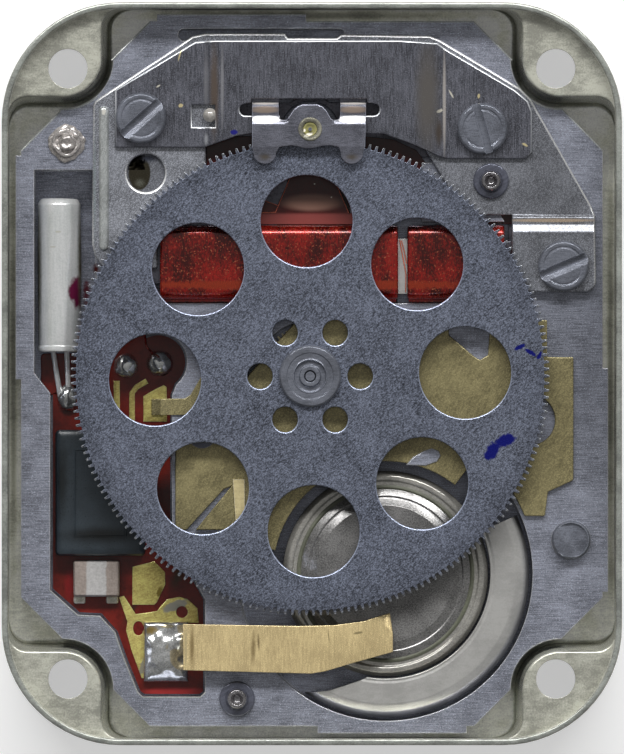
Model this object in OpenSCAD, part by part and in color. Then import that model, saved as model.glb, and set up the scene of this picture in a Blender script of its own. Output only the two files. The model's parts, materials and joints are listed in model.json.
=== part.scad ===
// Open-back quartz watch movement in its drawn metal tray, seen from the back.
// Millimetres. +Z points out of the open back and +Y to the motor end. The origin is
// the middle of the tray's footprint, at the level that the tray stands on.

/* [Main plate] */
// Width of the main plate without its side lips
plate_w = 32.8; // [32.4:0.1:36]
// Length of the main plate without its end lips
plate_l = 39.75; // [39.4:0.05:44]
// Thickness of the main plate
plate_t = 3.5; // [3.3:0.1:4.5]
// How far each corner chamfer runs along both edges
plate_chamfer = 7.27; // [6.8:0.01:7.6]
// How far the side lips stand out
side_lip = 0.3; // [0.1:0.05:0.5]
// How far the end lips stand out
end_lip = 0.4; // [0.1:0.05:0.6]
// Metal left under the cell well
well_web = 0.35; // [0.25:0.05:0.6]
// Metal left under the circuit pocket
pocket_web = 0.8; // [0.4:0.1:1]

/* [Tray] */
// Thickness of the tray's upright wall
tray_wall = 0.35; // [0.25:0.05:0.5]
// Thickness of the tray's ledge and corner pads
tray_sheet = 0.3; // [0.2:0.05:0.35]
// Gap between the plate's side lips and the tray wall
side_gap = 0.4; // [0.2:0.05:0.8]
// Gap between the plate's end lips and the tray wall
end_gap = 0.275; // [0.2:0.025:0.8]
// Height of the underside of the ledge that carries the main plate
ledge_z = 1.7; // [1.6:0.1:2.4]
// Height of the rim above the main plate
rim_rise = 2.2; // [2.1:0.1:3]
// Height of the corner pads above the main plate
pad_rise = 1.4; // [0.8:0.1:1.8]
// Outside corner radius of the tray
tray_corner_r = 6.7; // [5.5:0.1:7.2]
// Size of a corner pad along X
pad_w = 6; // [5.7:0.1:6.3]
// Size of a corner pad along Y
pad_l = 5.7; // [5.4:0.1:6]
// Radius of a pad's inner corner, at the foot of its wall
pad_corner_r = 2.55; // [2.3:0.05:2.8]
// How far a pad's wall leans in between foot and top
pad_draft = 0.45; // [0.2:0.05:0.5]
// Radius of the flare where a pad's wall meets the tray wall
pad_flare_r = 1.1; // [0.5:0.1:1.4]
// Radius of the four through holes in the pads
pad_hole_r = 1.1; // [0.8:0.05:1.25]
// Distance of a pad hole from the tray's outer faces
pad_hole_inset = 3.72; // [3.52:0.02:3.9]
// Gap between the main plate and a pad's wall
pad_relief = 0.25; // [0.15:0.05:0.5]
// How far the ledge reaches in under the main plate
ledge_w = 1.9; // [1.4:0.1:3]

/* [Seconds wheel] */
// Teeth of the seconds wheel
wheel_teeth = 210; // [180:30:240]
// Thickness of the seconds wheel
wheel_t = 0.25; // [0.15:0.05:0.4]
// Height of the wheel's underside above the main plate
wheel_rise = 1.1; // [1:0.05:1.2]
// Number of large holes in the wheel
wheel_holes = 8; // [4:1:8]
// Radius of a large hole
wheel_hole_r = 2.59; // [2:0.01:3]
// Distance of the large holes from the wheel's axis
wheel_hole_at = 8.73; // [8:0.01:9.2]
// Number of small holes in the wheel
hub_holes = 6; // [3:1:6]
// Radius of a small hole
hub_hole_r = 0.72; // [0.4:0.02:0.8]
// Distance of the small holes from the wheel's axis
hub_hole_at = 2.82; // [2.7:0.02:3.4]
// Radius of the hub's flange
hub_r = 1.75; // [1.3:0.05:1.9]
// Thickness of the hub's flange above the wheel
hub_t = 0.35; // [0.25:0.05:0.5]

/* [Gear train] */
// Distance between the rotor and the seconds axis
rotor_distance = 13.9; // [13.8:0.02:14]
// Leaves of the rotor pinion
rotor_leaves = 7; // [6:1:8]
// Distance between the third arbor and the seconds axis
third_distance = 3.23; // [3.1:0.01:3.4]
// Distance between the minute arbor and the seconds axis
motion_distance = 2.16; // [2:0.01:2.3]
// Leaves of the seconds pinion and of the third pinion
train_leaves = 8; // [7:1:9]
// Teeth of the third wheel
third_teeth = 60; // [48:1:70]
// Teeth of the centre wheel
centre_teeth = 64; // [48:1:72]
// Thickness of the third, centre, minute and hour wheels
train_wheel_t = 0.25; // [0.15:0.05:0.3]
// Radius of the seconds hand's seat
seconds_post_r = 0.125; // [0.1:0.005:0.14]
// Radius of the minute hand's seat
minute_post_r = 0.45; // [0.35:0.01:0.5]
// Radius of the hour hand's seat
hour_post_r = 0.75; // [0.7:0.01:0.85]
// Radial clearance of every turning pivot
pivot_gap = 0.03; // [0.02:0.005:0.05]

/* [Motor] */
// Width of the coil
coil_w = 4.2; // [3.6:0.1:4.4]
// Height of the coil
coil_h = 2; // [1.6:0.1:2.1]
// Length of the coil's left section
coil_left_l = 13.4; // [12.8:0.1:13.6]
// Length of the coil's right section
coil_right_l = 5.45; // [5:0.05:5.6]
// Gap between the coil's two sections
coil_split = 0.55; // [0.4:0.05:0.8]
// Diameter of the outer layer's turns
turn_d = 0.28; // [0.2:0.02:0.3]
// Turns in the left section's outer layer
left_turns = 17; // [8:1:17]
// Turns in the right section's outer layer
right_turns = 7; // [3:1:7]
// Width of the coil's core
core_w = 2.4; // [1.8:0.1:2.8]
// Thickness of the coil's core
core_t = 0.5; // [0.3:0.05:0.6]
// Thickness of the stator
stator_t = 0.5; // [0.3:0.05:0.6]
// Radius of the rotor magnet
magnet_r = 1.15; // [0.9:0.05:1.25]
// Height of the rotor magnet
magnet_t = 0.8; // [0.5:0.05:0.9]
// Radius of the stator's rotor hole
stator_hole_r = 1.6; // [1.5:0.05:1.8]
// Thickness of the frame plate
frame_t = 0.3; // [0.2:0.05:0.4]
// Thickness of the motor bridge
bridge_t = 0.3; // [0.2:0.05:0.35]
// How far the motor bridge's middle is raised
bridge_lift = 0.45; // [0.3:0.05:0.5]
// Thickness of the jewel clip
clip_t = 0.2; // [0.15:0.05:0.3]
// Height of the jewel clip's band above the main plate
clip_rise = 1.85; // [1.8:0.05:2]
// Radius of the rotor jewel's setting
setting_r = 0.62; // [0.5:0.02:0.8]

/* [Cell] */
// Diameter of the button cell
cell_d = 11.6; // [11:0.1:12]
// Height of the button cell
cell_h = 3.05; // [2.7:0.05:3.1]
// Diameter of the cell's cap at its flange
cap_d = 9; // [8:0.1:9.4]
// Gap between the cell and its strap
cell_gap = 0.1; // [0.05:0.01:0.2]
// Width of the strap's crescent
strap_w = 2.05; // [1.6:0.05:2.1]
// Thickness of the strap
strap_t = 0.3; // [0.2:0.05:0.4]
// Gap between the strap and the wall of the well
well_gap = 0.34; // [0.2:0.02:0.5]

/* [Circuit] */
// Thickness of the circuit board
board_t = 0.3; // [0.2:0.05:0.5]
// Gap between the board and the wall of its pocket
board_gap = 0.12; // [0.05:0.01:0.3]
// Diameter of the crystal can
crystal_d = 2.5; // [2:0.1:2.6]
// Length of the crystal can
crystal_l = 8.65; // [7.5:0.05:8.8]
// Width of the integrated circuit's body
ic_w = 5.07; // [4:0.01:5.1]
// Length of the integrated circuit's body
ic_l = 7.1; // [6:0.1:7.1]
// Height of the integrated circuit's body
ic_h = 1.4; // [0.8:0.1:1.7]
// Width of the chip capacitor
capacitor_w = 2.6; // [2:0.1:2.8]
// Length of the chip capacitor
capacitor_l = 2.45; // [1.8:0.05:2.5]
// Height of the chip capacitor
capacitor_h = 0.9; // [0.5:0.1:1.4]
// Thickness of the brass contact strip
contact_t = 0.2; // [0.1:0.05:0.3]
// Height of the brass contact strip above the main plate
contact_rise = 0.85; // [0.6:0.05:0.95]

/* [Fasteners] */
// Radius of a plate screw's head
screw_head_r = 1.43; // [1.1:0.01:1.5]
// Height of a plate screw's head
screw_head_t = 0.5; // [0.3:0.05:0.6]
// Radius of a plate screw's shank
screw_r = 0.6; // [0.4:0.05:0.7]
// Width of a screw's slot
slot_w = 0.36; // [0.2:0.02:0.5]
// Radial clearance of a screw's shank in the sheets it passes
screw_gap = 0.1; // [0.05:0.01:0.2]
// Thickness of the train bridge
train_bridge_t = 0.3; // [0.2:0.05:0.35]

/* [Hidden] */
$fn = 48;

// Small overlap that joins two shapes of one piece, and overrun of a cut
join = 0.05;
cut = 0.5;

// Heights
plate_z = ledge_z + tray_sheet;
top = plate_z + plate_t;
rim_z = top + rim_rise;
pad_z = top + pad_rise;
well_z = plate_z + well_web;
pocket_z = plate_z + pocket_web;
board_z = pocket_z + board_t;
wheel_z = top + wheel_rise;
bridge_z = top + frame_t;
bridge_top = bridge_z + bridge_lift + bridge_t;
flange_top = bridge_z + bridge_t;
clip_z = top + clip_rise;

// Plan of the plate and the tray
half_w = plate_w / 2;
half_l = plate_l / 2;
tray_half_w = half_w + side_lip + side_gap + tray_wall;
tray_half_l = half_l + end_lip + end_gap + tray_wall;
inner_half_w = tray_half_w - tray_wall;
inner_half_l = tray_half_l - tray_wall;
pad_x = tray_half_w - pad_w + pad_corner_r;
pad_y = tray_half_l - pad_l + pad_corner_r;
hole_x = tray_half_w - pad_hole_inset;
hole_y = tray_half_l - pad_hole_inset;

// Axes of the train
centre = [-0.1, -0.14];
third_angle = 205;
motion_angle = 150;
rotor = centre + [0, rotor_distance];
third = centre + third_distance * [cos(third_angle), sin(third_angle)];
motion = centre + motion_distance * [cos(motion_angle), sin(motion_angle)];

// Gear sizes: a pinion drives every wheel, so the pinions carry the longer tips
pinion_tip = 1.17;
pinion_root = 1.15;
wheel_tip = 0.23;
wheel_root = 2.1;
rotor_module = 2 * rotor_distance / (wheel_teeth + rotor_leaves);
third_module = 2 * third_distance / (third_teeth + train_leaves);
centre_module = 2 * third_distance / (centre_teeth + train_leaves);
cannon_leaves = 12;
minute_teeth = 36;
minute_leaves = 10;
hour_teeth = 40;
cannon_module = 2 * motion_distance / (minute_teeth + cannon_leaves);
hour_module = 2 * motion_distance / (hour_teeth + minute_leaves);

contact_z = top + contact_rise;

// Heights of the train, from the recess floors
recess_depth = 1.9;
recess_z = top - recess_depth;
motion_z = plate_z + 1;
centre_wheel_z = recess_z + 0.15;
third_wheel_z = recess_z + 0.9;
third_pinion_z = recess_z + 0.1;
seconds_pinion_z = third_wheel_z - 0.1;
seconds_pinion_t = train_wheel_t + 0.3;
hour_wheel_z = plate_z + 0.05;
minute_wheel_z = hour_wheel_z + train_wheel_t + 0.2;
cannon_leaf_z = minute_wheel_z - 0.1;
cover_t = 0.25;
cover_z = plate_z - cover_t;
hour_post_z = ledge_z - 0.7;
minute_post_z = hour_post_z - 0.5;
seconds_post_z = minute_post_z - 0.4;
hand_step = 0.03;
hand_gap = 0.05;
hour_boss_step = 0.25;
hour_boss_r = hour_post_r + hour_boss_step;
minute_tube_r = minute_post_r + hand_step;
seconds_tube_r = seconds_post_r + hand_step;
hour_seat_z = cover_z - hand_gap;
minute_seat_z = hour_post_z - hand_gap;
seconds_seat_z = minute_post_z - hand_gap;
recess_gap = 0.25;
recess_r = centre_module * centre_teeth / 2 + recess_gap;
third_recess_r = third_module * third_teeth / 2 + recess_gap;
motion_recess_r = hour_module * hour_teeth / 2 + recess_gap;
minute_recess_r = cannon_module * minute_teeth / 2 + recess_gap;

// Arbors
arbor_r = 0.25;
pivot_r = 0.1;
train_arbor_r = 0.2;
collar_r = 0.9;
bush_r = 0.8;
bush_rise = 0.1;
end_shake = 0.05;

// Motor
coil_x = -8.56;
coil_y = 6.27;
coil_z = top - core_t / 2;
coil_right_x = coil_x + coil_left_l + coil_split;
coil_end_x = coil_right_x + coil_right_l;
core_step_x = coil_end_x + 0.4;
tab_x = coil_end_x + 0.43;
slot_margin = 0.35;
film_t = 0.08;
coil_slot_w = coil_w + 0.4;
coil_slot_y = coil_y - coil_slot_w / 2;
coil_floor = coil_z - coil_h / 2 - film_t - 0.05;
stator_z = top - core_t - stator_t;
magnet_z = stator_z + stator_t / 2 - magnet_t / 2;
magnet_pocket_r = stator_hole_r + 0.1;
magnet_floor = magnet_z - 0.25;
jewel_t = 0.35;
jewel_r = 0.45;
rotor_top = clip_z + clip_t + 0.1;
rotor_foot = magnet_floor - jewel_t + 0.05;

// Cell
cell = [4.15, -11.28];
cell_r = cell_d / 2;
cell_z = well_z;
strap_in_r = cell_r + cell_gap;
strap_out_r = strap_in_r + strap_w;
well_r = strap_out_r + well_gap;
strap_z = top - 0.6;
shoulder_h = cell_h - 0.3;
gasket_w = 0.35;
gasket_depth = 0.5;
groove_r = cap_d / 2 + gasket_w;
cap_z = cell_z + shoulder_h - gasket_depth;

// Fixings: place, slot direction and the height under each head
screw_places = [[-9.63, 14.4], [9.61, 13.81], [14.17, 6.07]];
screw_slots = [42, 106, 23];
screw_depth = 2.6;
tab_lift = frame_t;
small_screw_r = 0.35;
screw_wall = 0.24;
bridge_screw_places = [
    [4.35, 1.66],
    third + (third_recess_r + small_screw_r + screw_wall) * [cos(210.9), sin(210.9)]
];
cover_screw_places = [[3.1, -1.5], [-4.6, 1.9]];
small_head_r = 0.8;
small_head_t = 0.3;
stud_shank_r = 0.4;
stud_depth = 1.6;
pin_r = 1.1;
window_place = [-9.36, 11.31];
window_r = 1.08;
bridge_window_place = [12.29, -2.61];
bridge_window_r = 1.41;
stud_place = [-13.82, 13];
locating_place = [-5.74, 14.57];
post_places = [[10.09, 10.86], [-4.22, -18.33]];
pin_place = [14.6, -9.37];

// Circuit
crystal_x = -14.25;
crystal_top_y = 9.9;
crystal_end_y = crystal_top_y - crystal_l;
crystal_z = pocket_z + crystal_d / 2;
pocket_left = crystal_x - crystal_d / 2 - 0.15;
bulge = [-8.67, 0.66];
bulge_r = 1.63;
lead_pitch = 0.8;
lead_r = 0.15;
lead_blob = [-13.97, -1.3];
side_blob = [-10.5, 0.45];
bulge_blob = [-8.58, 0.59];
pad_t = 0.06;
terminal_t = 0.6;
leg_x = -7.25;
ic_place = [-14.47, -10.27];
capacitor_gap = 0.31;
capacitor_place = [-13.46, ic_place[1] - capacitor_gap - capacitor_l];

// Turns a flat outline in X and Z into a bar along Y
module along_y(length) {
    rotate([90, 0, 0]) linear_extrude(height = length, center = true) children();
}

// Turns a flat outline in Y and Z into a bar along X
module along_x(length) {
    rotate([90, 0, 90]) linear_extrude(height = length, center = true) children();
}

// A disc or drum standing at a height
module drum(place, r, z0, z1) {
    translate([place[0], place[1], z0]) cylinder(r = r, h = z1 - z0);
}

// A round hole cut from z0 to z1
module hole(place, r, z0, z1) {
    drum(place, r, z0, z1);
}

// A flat shape standing from z0 to z1
module slab(z0, z1) {
    translate([0, 0, z0]) linear_extrude(height = z1 - z0) children();
}

// A round wire between two points
module wire(from, to, r) {
    run = to - from;
    long = norm(run);
    translate(from)
        rotate([0, acos(run[2] / long), atan2(run[1], run[0])])
            cylinder(r = r, h = long, $fn = 24);
}

module rounded_square(w, l, r) {
    square([w - 2 * r, l], center = true);
    square([w, l - 2 * r], center = true);
    for (x = [-1, 1], y = [-1, 1])
        translate([x * (w / 2 - r), y * (l / 2 - r)]) circle(r = r);
}

// Copies its children into all four corners
module corners() {
    for (x = [0, 1], y = [0, 1])
        mirror([x, 0, 0]) mirror([0, y, 0]) children();
}

// Plan of a gear: each tooth is a straight-sided wedge, wide at the root. A tooth is
// centred on the angle "facing", or half a pitch away from it where gap is true.
module gear_plan(teeth, module_size, root, tip, facing, gap, root_share, tip_share) {
    pitch = 360 / teeth;
    shift = facing + (gap ? pitch / 2 : 0);
    r_root = module_size * (teeth / 2 - root);
    r_tip = module_size * (teeth / 2 + tip);
    polygon([
        for (i = [0 : teeth - 1], corner = [[r_root, -root_share], [r_tip, -tip_share],
                                            [r_tip, tip_share], [r_root, root_share]])
            let (a = shift + pitch * (i + corner[1] / 2))
                corner[0] * [cos(a), sin(a)]
    ]);
}

module wheel_plan(teeth, module_size, facing) {
    gear_plan(teeth, module_size, wheel_root, wheel_tip, facing, true, 0.5, 0.26);
}

module pinion_plan(leaves, module_size, facing) {
    gear_plan(leaves, module_size, pinion_root, pinion_tip, facing, false, 0.5, 0.22);
}

// Plan of the main plate with its chamfers, lips and pad reliefs
module plate_plan() {
    lip_low = 0.32;
    side_end = half_l - plate_chamfer - side_lip;
    end_end = half_w - plate_chamfer - end_lip;
    difference() {
        union() {
            polygon([
                [half_w, half_l - plate_chamfer], [half_w - plate_chamfer, half_l],
                [plate_chamfer - half_w, half_l], [-half_w, half_l - plate_chamfer],
                [-half_w, plate_chamfer - half_l], [plate_chamfer - half_w, -half_l],
                [half_w - plate_chamfer, -half_l], [half_w, plate_chamfer - half_l]
            ]);
            for (turn = [0, 180]) rotate(turn) {
                translate([half_w - join, -side_end])
                    square([side_lip + join, side_end + lip_low]);
                translate([-end_end, half_l - join])
                    square([end_end - lip_low, end_lip + join]);
            }
        }
        for (x = [-1, 1], y = [-1, 1])
            translate([x * pad_x, y * pad_y]) circle(r = pad_corner_r + pad_relief);
    }
}

// Plan of one corner pad, grown by an amount all round
module pad_plan(grow) {
    r = pad_corner_r + grow;
    reach = pad_w + pad_l;
    translate([pad_x, pad_y]) {
        circle(r = r);
        translate([0, -r]) square([reach, r + reach]);
        translate([-r, 0]) square([r + reach, reach]);
    }
}

// Plan of the space inside the tray's wall
module tray_inside() {
    rounded_square(2 * inner_half_w, 2 * inner_half_l, tray_corner_r - tray_wall);
}

// Cross-section of a pad's leaning wall, from its foot to the underside of the pad
module pad_wall_section() {
    foot = pad_corner_r;
    head = pad_corner_r - pad_draft;
    polygon([[foot, ledge_z], [head, pad_z], [head - tray_sheet, pad_z],
             [foot - tray_sheet, ledge_z]]);
}

module pad_wall() {
    run_x = inner_half_w - pad_x + join;
    run_y = inner_half_l - pad_y + join;
    flare_x = inner_half_w - pad_flare_r;
    flare_y = inner_half_l - pad_flare_r;
    head = pad_corner_r - pad_draft;
    translate([pad_x, pad_y, 0]) {
        rotate(180) rotate_extrude(angle = 90) pad_wall_section();
        translate([run_x / 2, 0, 0]) along_x(run_x) mirror([1, 0]) pad_wall_section();
        translate([0, run_y / 2, 0]) along_y(run_y) mirror([1, 0]) pad_wall_section();
    }
    slab(ledge_z, pad_z) difference() {
        union() {
            translate([flare_x, pad_y - pad_corner_r - pad_flare_r])
                square([pad_flare_r + join, pad_flare_r + pad_draft]);
            translate([pad_x - pad_corner_r - pad_flare_r, flare_y])
                square([pad_flare_r + pad_draft, pad_flare_r + join]);
        }
        translate([flare_x, pad_y - pad_corner_r - pad_flare_r]) circle(r = pad_flare_r);
        translate([pad_x - pad_corner_r - pad_flare_r, flare_y]) circle(r = pad_flare_r);
    }
}

module movement_tray() color([0.59, 0.59, 0.55]) {
    slab(0, rim_z) difference() {
        rounded_square(2 * tray_half_w, 2 * tray_half_l, tray_corner_r);
        tray_inside();
    }
    slab(ledge_z, plate_z) difference() {
        rounded_square(2 * tray_half_w - tray_wall, 2 * tray_half_l - tray_wall,
                       tray_corner_r - tray_wall / 2);
        difference() {
            square([2 * (inner_half_w - ledge_w), 2 * (inner_half_l - ledge_w)],
                   center = true);
            corners() pad_plan(ledge_w / 2);
        }
        corners() pad_plan(-tray_sheet / 2);
    }
    corners() {
        pad_wall();
        slab(pad_z - tray_sheet, pad_z) difference() {
            intersection() {
                pad_plan(-pad_draft - tray_sheet / 4);
                rounded_square(2 * tray_half_w - tray_wall, 2 * tray_half_l - tray_wall,
                               tray_corner_r - tray_wall / 2);
            }
            translate([hole_x, hole_y]) circle(r = pad_hole_r);
        }
    }
}

// Plan of the pocket that holds the crystal and the circuit board
module pocket_plan() {
    polygon([
        [pocket_left, 11.48], [-9.25, 11.48], [-9.25, 10.05], [-12.2, 9.8], [-12.2, 4.8],
        [-9.25, 4.8], [-9.25, 0.66], [-7.6, -0.5], [-7.88, -1.2], [-7.88, -9.37],
        [-6.02, -12.75], [-6.02, -17.93], [-6.3, -18.21], [-9.52, -18.21], [-9.8, -17.93],
        [-10.53, -16.13], [-11.09, -14.55], [-11.94, -13.65], [-13.18, -13.59],
        [-14.75, -12.19], [-14.75, -1.09], [pocket_left, 0.04]
    ]);
    translate(bulge) circle(r = bulge_r);
}

// Plan of the stator: a bar across the motor with a leg down to each end of the core
module stator_plan() {
    foot_y = coil_y - core_w / 2;
    leg_x = coil_x - 0.25;
    right_x = coil_end_x + 0.25;
    polygon([
        [-8.6, 15.3], [11.7, 15.3], [12.3, 14.6], [15.2, 9.4], [15.4, 8.6],
        [15.4, foot_y], [right_x, foot_y], [right_x, 8.9], [9.2, 12.2],
        [-1.36, 12.2], [-1.36, 9.2], [-2.8, 9.2], [-2.8, 12.2],
        [-6.5, 12.2], [-6.5, 8.7], [leg_x, 8.7], [leg_x, foot_y], [-11.9, foot_y],
        [-11.9, 9.6], [-9.1, 9.9], [-9.1, 13]
    ]);
}

// Plan of the recess that holds the stator with room around it
module motor_recess_plan() {
    foot_y = coil_y - core_w / 2 - 0.25;
    polygon([
        [-8.9, 15.85], [11.9, 15.85], [12.6, 14.9], [15.5, 9.6], [15.7, 8.7],
        [15.7, foot_y], [coil_end_x, foot_y], [coil_end_x, 8.6], [8.9, 11.9],
        [-6.2, 11.9], [-6.2, 8.3], [-8.65, 8.3], [-8.65, foot_y], [-12.5, foot_y],
        [-12.5, 9.95], [-9.4, 10.2], [-9.4, 13.2]
    ]);
}

module main_plate() color([0.49, 0.5, 0.55]) {
    film_slot = [12.2, 5.7];
    thread_floor = top - screw_depth;
    difference() {
        slab(plate_z, top) plate_plan();
        hole(cell, well_r, well_z, top + cut);
        slab(pocket_z, top + cut) pocket_plan();
        motor_cuts();
        train_cuts();
        translate([coil_x - slot_margin, coil_slot_y, coil_floor])
            cube([coil_end_x - coil_x + 2 * slot_margin, coil_slot_w, top]);
        translate([-6, coil_y, coil_floor]) cube([film_slot[0], film_slot[1], top]);
        edge_slot();
        for (place = screw_places) hole(place, screw_r, thread_floor, top + cut);
        for (place = bridge_screw_places)
            hole(place, small_screw_r, top - 1.2, top + cut);
        for (place = cover_screw_places)
            hole(place, small_screw_r, plate_z - cut, plate_z + 0.8);
        for (place = concat([stud_place, locating_place], post_places))
            hole(place, stud_shank_r, top - stud_depth, top + cut);
        hole(pin_place, pin_r, top - stud_depth, top + cut);
    }
}

// The dark slot along the plate's top edge, with round ends
module edge_slot() {
    slot_r = 0.34;
    slot_y = half_l - 0.775;
    slot_ends = [-7.2, 1.5];
    slab(top - 1.5, top + cut) union() {
        translate([slot_ends[0], slot_y - slot_r])
            square([slot_ends[1] - slot_ends[0], 2 * slot_r]);
        for (x = slot_ends) translate([x, slot_y]) circle(r = slot_r);
    }
}

module motor_cuts() {
    slab(stator_z, top + cut) motor_recess_plan();
    hole(rotor, magnet_pocket_r, magnet_floor, top + cut);
    hole(rotor, jewel_r, magnet_floor - jewel_t, top);
    hole(rotor, jewel_r / 2, plate_z + 0.5, top);
}

module train_cuts() {
    hole(centre, recess_r, recess_z, top + cut);
    hole(third, third_recess_r, recess_z, top + cut);
    hole(third, pivot_r + pivot_gap, recess_z - 0.4, recess_z + cut);
    hole(centre, motion_recess_r, plate_z - cut, motion_z);
    hole(motion, minute_recess_r, plate_z - cut, motion_z);
    hole(motion, pivot_r + pivot_gap, motion_z - cut, motion_z + 0.3);
    hole(centre, minute_tube_r + pivot_gap, plate_z, top);
}

module frame_plate() color([0.47, 0.48, 0.5]) {
    rib_x = -11.72;
    rib_y = 7.2;
    rib_l = 7.6;
    rib_r = 0.25;
    rib_h = 0.12;
    difference() {
        union() {
            slab(top, bridge_z) frame_plan();
            intersection() {
                slab(top, bridge_z + tab_lift) tab_plan();
                tab_section();
            }
            translate([rib_x, rib_y, bridge_z - join])
                slab(0, rib_h + join) union() {
                    translate([-rib_r, 0]) square([2 * rib_r, rib_l]);
                    for (y = [0, rib_l]) translate([0, y]) circle(r = rib_r);
                }
        }
        for (place = screw_places)
            hole(place, screw_r + screw_gap, top - cut, bridge_z + 1);
        hole(window_place, window_r, top - cut, bridge_z + cut);
        hole(rotor, magnet_r + 0.15, top - cut, bridge_z + cut);
        hole(locating_place, stud_shank_r, top - cut, bridge_z + cut);
        hole(post_places[0], stud_shank_r, top - cut, bridge_z + cut);
    }
}

module frame_plan() {
    polygon([
        [-12.39, 5.95], [-12.33, 15.08], [-12.05, 15.48], [-7.54, 18.46], [-6.75, 19],
        [-6.02, 19.17], [-1.52, 19.17], [-1.35, 18.91], [1.41, 18.91], [1.64, 19.11],
        [6.65, 19.03], [7.22, 18.8], [11.72, 16.1], [12.34, 15.48], [12.68, 14.86],
        [15.72, 9.5], [15.9, 8.94], [8.6, 8.94], [5.81, 13.5], [-6.02, 13.5],
        [-8.7, 9.2], [-8.7, 5.95]
    ]);
}

// The right leg's raised tab over the end of the coil's core
module tab_plan() {
    tab_end = 16;
    tab_low = 4.6;
    tab_r = 0.6;
    translate([tab_x, tab_low + tab_r]) square([tab_end - tab_x, 4]);
    translate([tab_x, tab_low]) square([tab_end - tab_r - tab_x, 1]);
    translate([tab_end - tab_r, tab_low + tab_r]) circle(r = tab_r);
}

module tab_section() {
    rise_y = 8.9;
    flat_y = 7.93;
    translate([13.6, 0, 0]) along_x(6) polygon([
        [9.3, top], [9.3, bridge_z], [rise_y, bridge_z], [flat_y, bridge_z + tab_lift],
        [4, bridge_z + tab_lift], [4, top + tab_lift], [flat_y, top + tab_lift],
        [rise_y, top]
    ]);
}

module motor_bridge() color([0.29, 0.31, 0.34]) {
    difference() {
        intersection() {
            slab(bridge_z, bridge_top) bridge_plan();
            bridge_section();
        }
        for (place = [screw_places[0], screw_places[1]])
            hole(place, screw_r + screw_gap, top, bridge_top + cut);
        hole(rotor, 0.95, top, bridge_top + cut);
        hole(locating_place, stud_shank_r + 0.05, top, bridge_top + cut);
        slab(top, bridge_top + cut) {
            translate([-4.11, 14.74]) square([7.95, 0.74]);
            translate([-1.8, 14.29]) square([3.38, 1]);
            translate([-6.75, 13.9]) square([1.29, 1.24]);
        }
    }
}

module bridge_plan() {
    polygon([
        [-11.09, 12.74], [-11.09, 15.98], [-6.59, 18.69], [-5.57, 18.77], [4.96, 18.77],
        [7.05, 18.63], [7.61, 18.24], [11.44, 15.98], [12.17, 15.36], [12.4, 14.74],
        [12.4, 12.49], [12.06, 12.1], [7.55, 12.1], [7.1, 12.26], [5.81, 12.85],
        [4.01, 13.5], [-3.49, 13.5], [-4.22, 13.39], [-6.02, 12.74]
    ]);
}

module bridge_section() {
    bends = [[-13, 0], [-6.13, 0], [-4.5, bridge_lift], [5.7, bridge_lift], [7.61, 0], [14, 0]];
    translate([0, 15.5, 0]) along_y(8) polygon(concat(
        [for (b = bends) [b[0], bridge_z + b[1]]],
        [for (i = [len(bends) - 1 : -1 : 0]) [bends[i][0], flange_top + bends[i][1]]]
    ));
}

module jewel_clip() color([0.55, 0.56, 0.58]) {
    difference() {
        intersection() {
            slab(top, clip_z + 1) clip_plan();
            clip_section();
        }
        hole(rotor, setting_r, top, clip_z + 1);
    }
}

// Plan of the clip: two arms, a band between them and a round ear below each arm
module clip_plan() {
    band_low = 12.9;
    for (x = [-3.37, 1.58]) {
        translate([x, band_low]) square([1.5, 16.2 - band_low]);
        translate([x + 0.75, 12.5]) circle(r = 0.63);
        translate([x + 0.12, 12.4]) square([1.26, 0.6]);
    }
    translate([-3.37, band_low]) square([6.45, 1.45]);
    translate([rotor[0] - 0.68, 14.3]) square([1.36, 0.75]);
    difference() {
        translate([rotor[0] - 1.4, 14.3]) square([2.8, 0.75]);
        for (x = [-1.4, 1.4]) translate([rotor[0] + x, 15.05]) circle(r = 0.72);
    }
    translate([rotor[0], 12.95]) circle(r = 0.75);
}

module clip_section() {
    tongue_z = bridge_z + bridge_lift - clip_t;
    ear_gap = 0.2;
    ear_z = wheel_z + wheel_t + ear_gap;
    translate([rotor[0], 0, 0]) along_x(9) polygon([
        [16.3, tongue_z], [16.3, tongue_z + clip_t], [15.35, tongue_z + clip_t],
        [14.45, clip_z + clip_t], [12.9, clip_z + clip_t], [11.7, ear_z + clip_t],
        [11.7, ear_z], [12.9, clip_z], [14.35, clip_z], [15.05, tongue_z]
    ]);
}

module jewel_setting() color([0.72, 0.66, 0.42]) {
    difference() {
        union() {
            drum(rotor, setting_r, clip_z, clip_z + clip_t);
            drum(rotor, setting_r + 0.12, clip_z + clip_t, clip_z + clip_t + 0.1);
        }
        hole(rotor, jewel_r, clip_z - cut, clip_z + 1);
    }
}

module upper_rotor_jewel() color([0.75, 0.3, 0.35]) {
    difference() {
        drum(rotor, jewel_r, clip_z, clip_z + clip_t + 0.05);
        hole(rotor, pivot_r + pivot_gap, clip_z - cut, clip_z + 1);
    }
}

module lower_rotor_jewel() color([0.75, 0.3, 0.35]) {
    difference() {
        drum(rotor, jewel_r, magnet_floor - jewel_t, magnet_floor);
        hole(rotor, pivot_r + pivot_gap, magnet_floor - 1, magnet_floor + cut);
    }
}

// A slotted screw whose head stands on z0
module slotted_screw(place, z0, head_r, head_t, shank_r, shank_l, slot, turn) {
    translate([place[0], place[1], z0]) difference() {
        union() {
            cylinder(r = head_r, h = head_t);
            translate([0, 0, -shank_l]) cylinder(r = shank_r, h = shank_l + join);
        }
        rotate(turn) translate([0, 0, head_t])
            cube([3 * head_r, slot, head_t], center = true);
    }
}

module plate_screws() color([0.42, 0.43, 0.46]) {
    heads = [flange_top, flange_top, bridge_z + tab_lift];
    for (i = [0 : 2])
        slotted_screw(screw_places[i], heads[i], screw_head_r, screw_head_t, screw_r,
                      heads[i] - top + screw_depth - 0.3, slot_w, screw_slots[i]);
}

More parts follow.
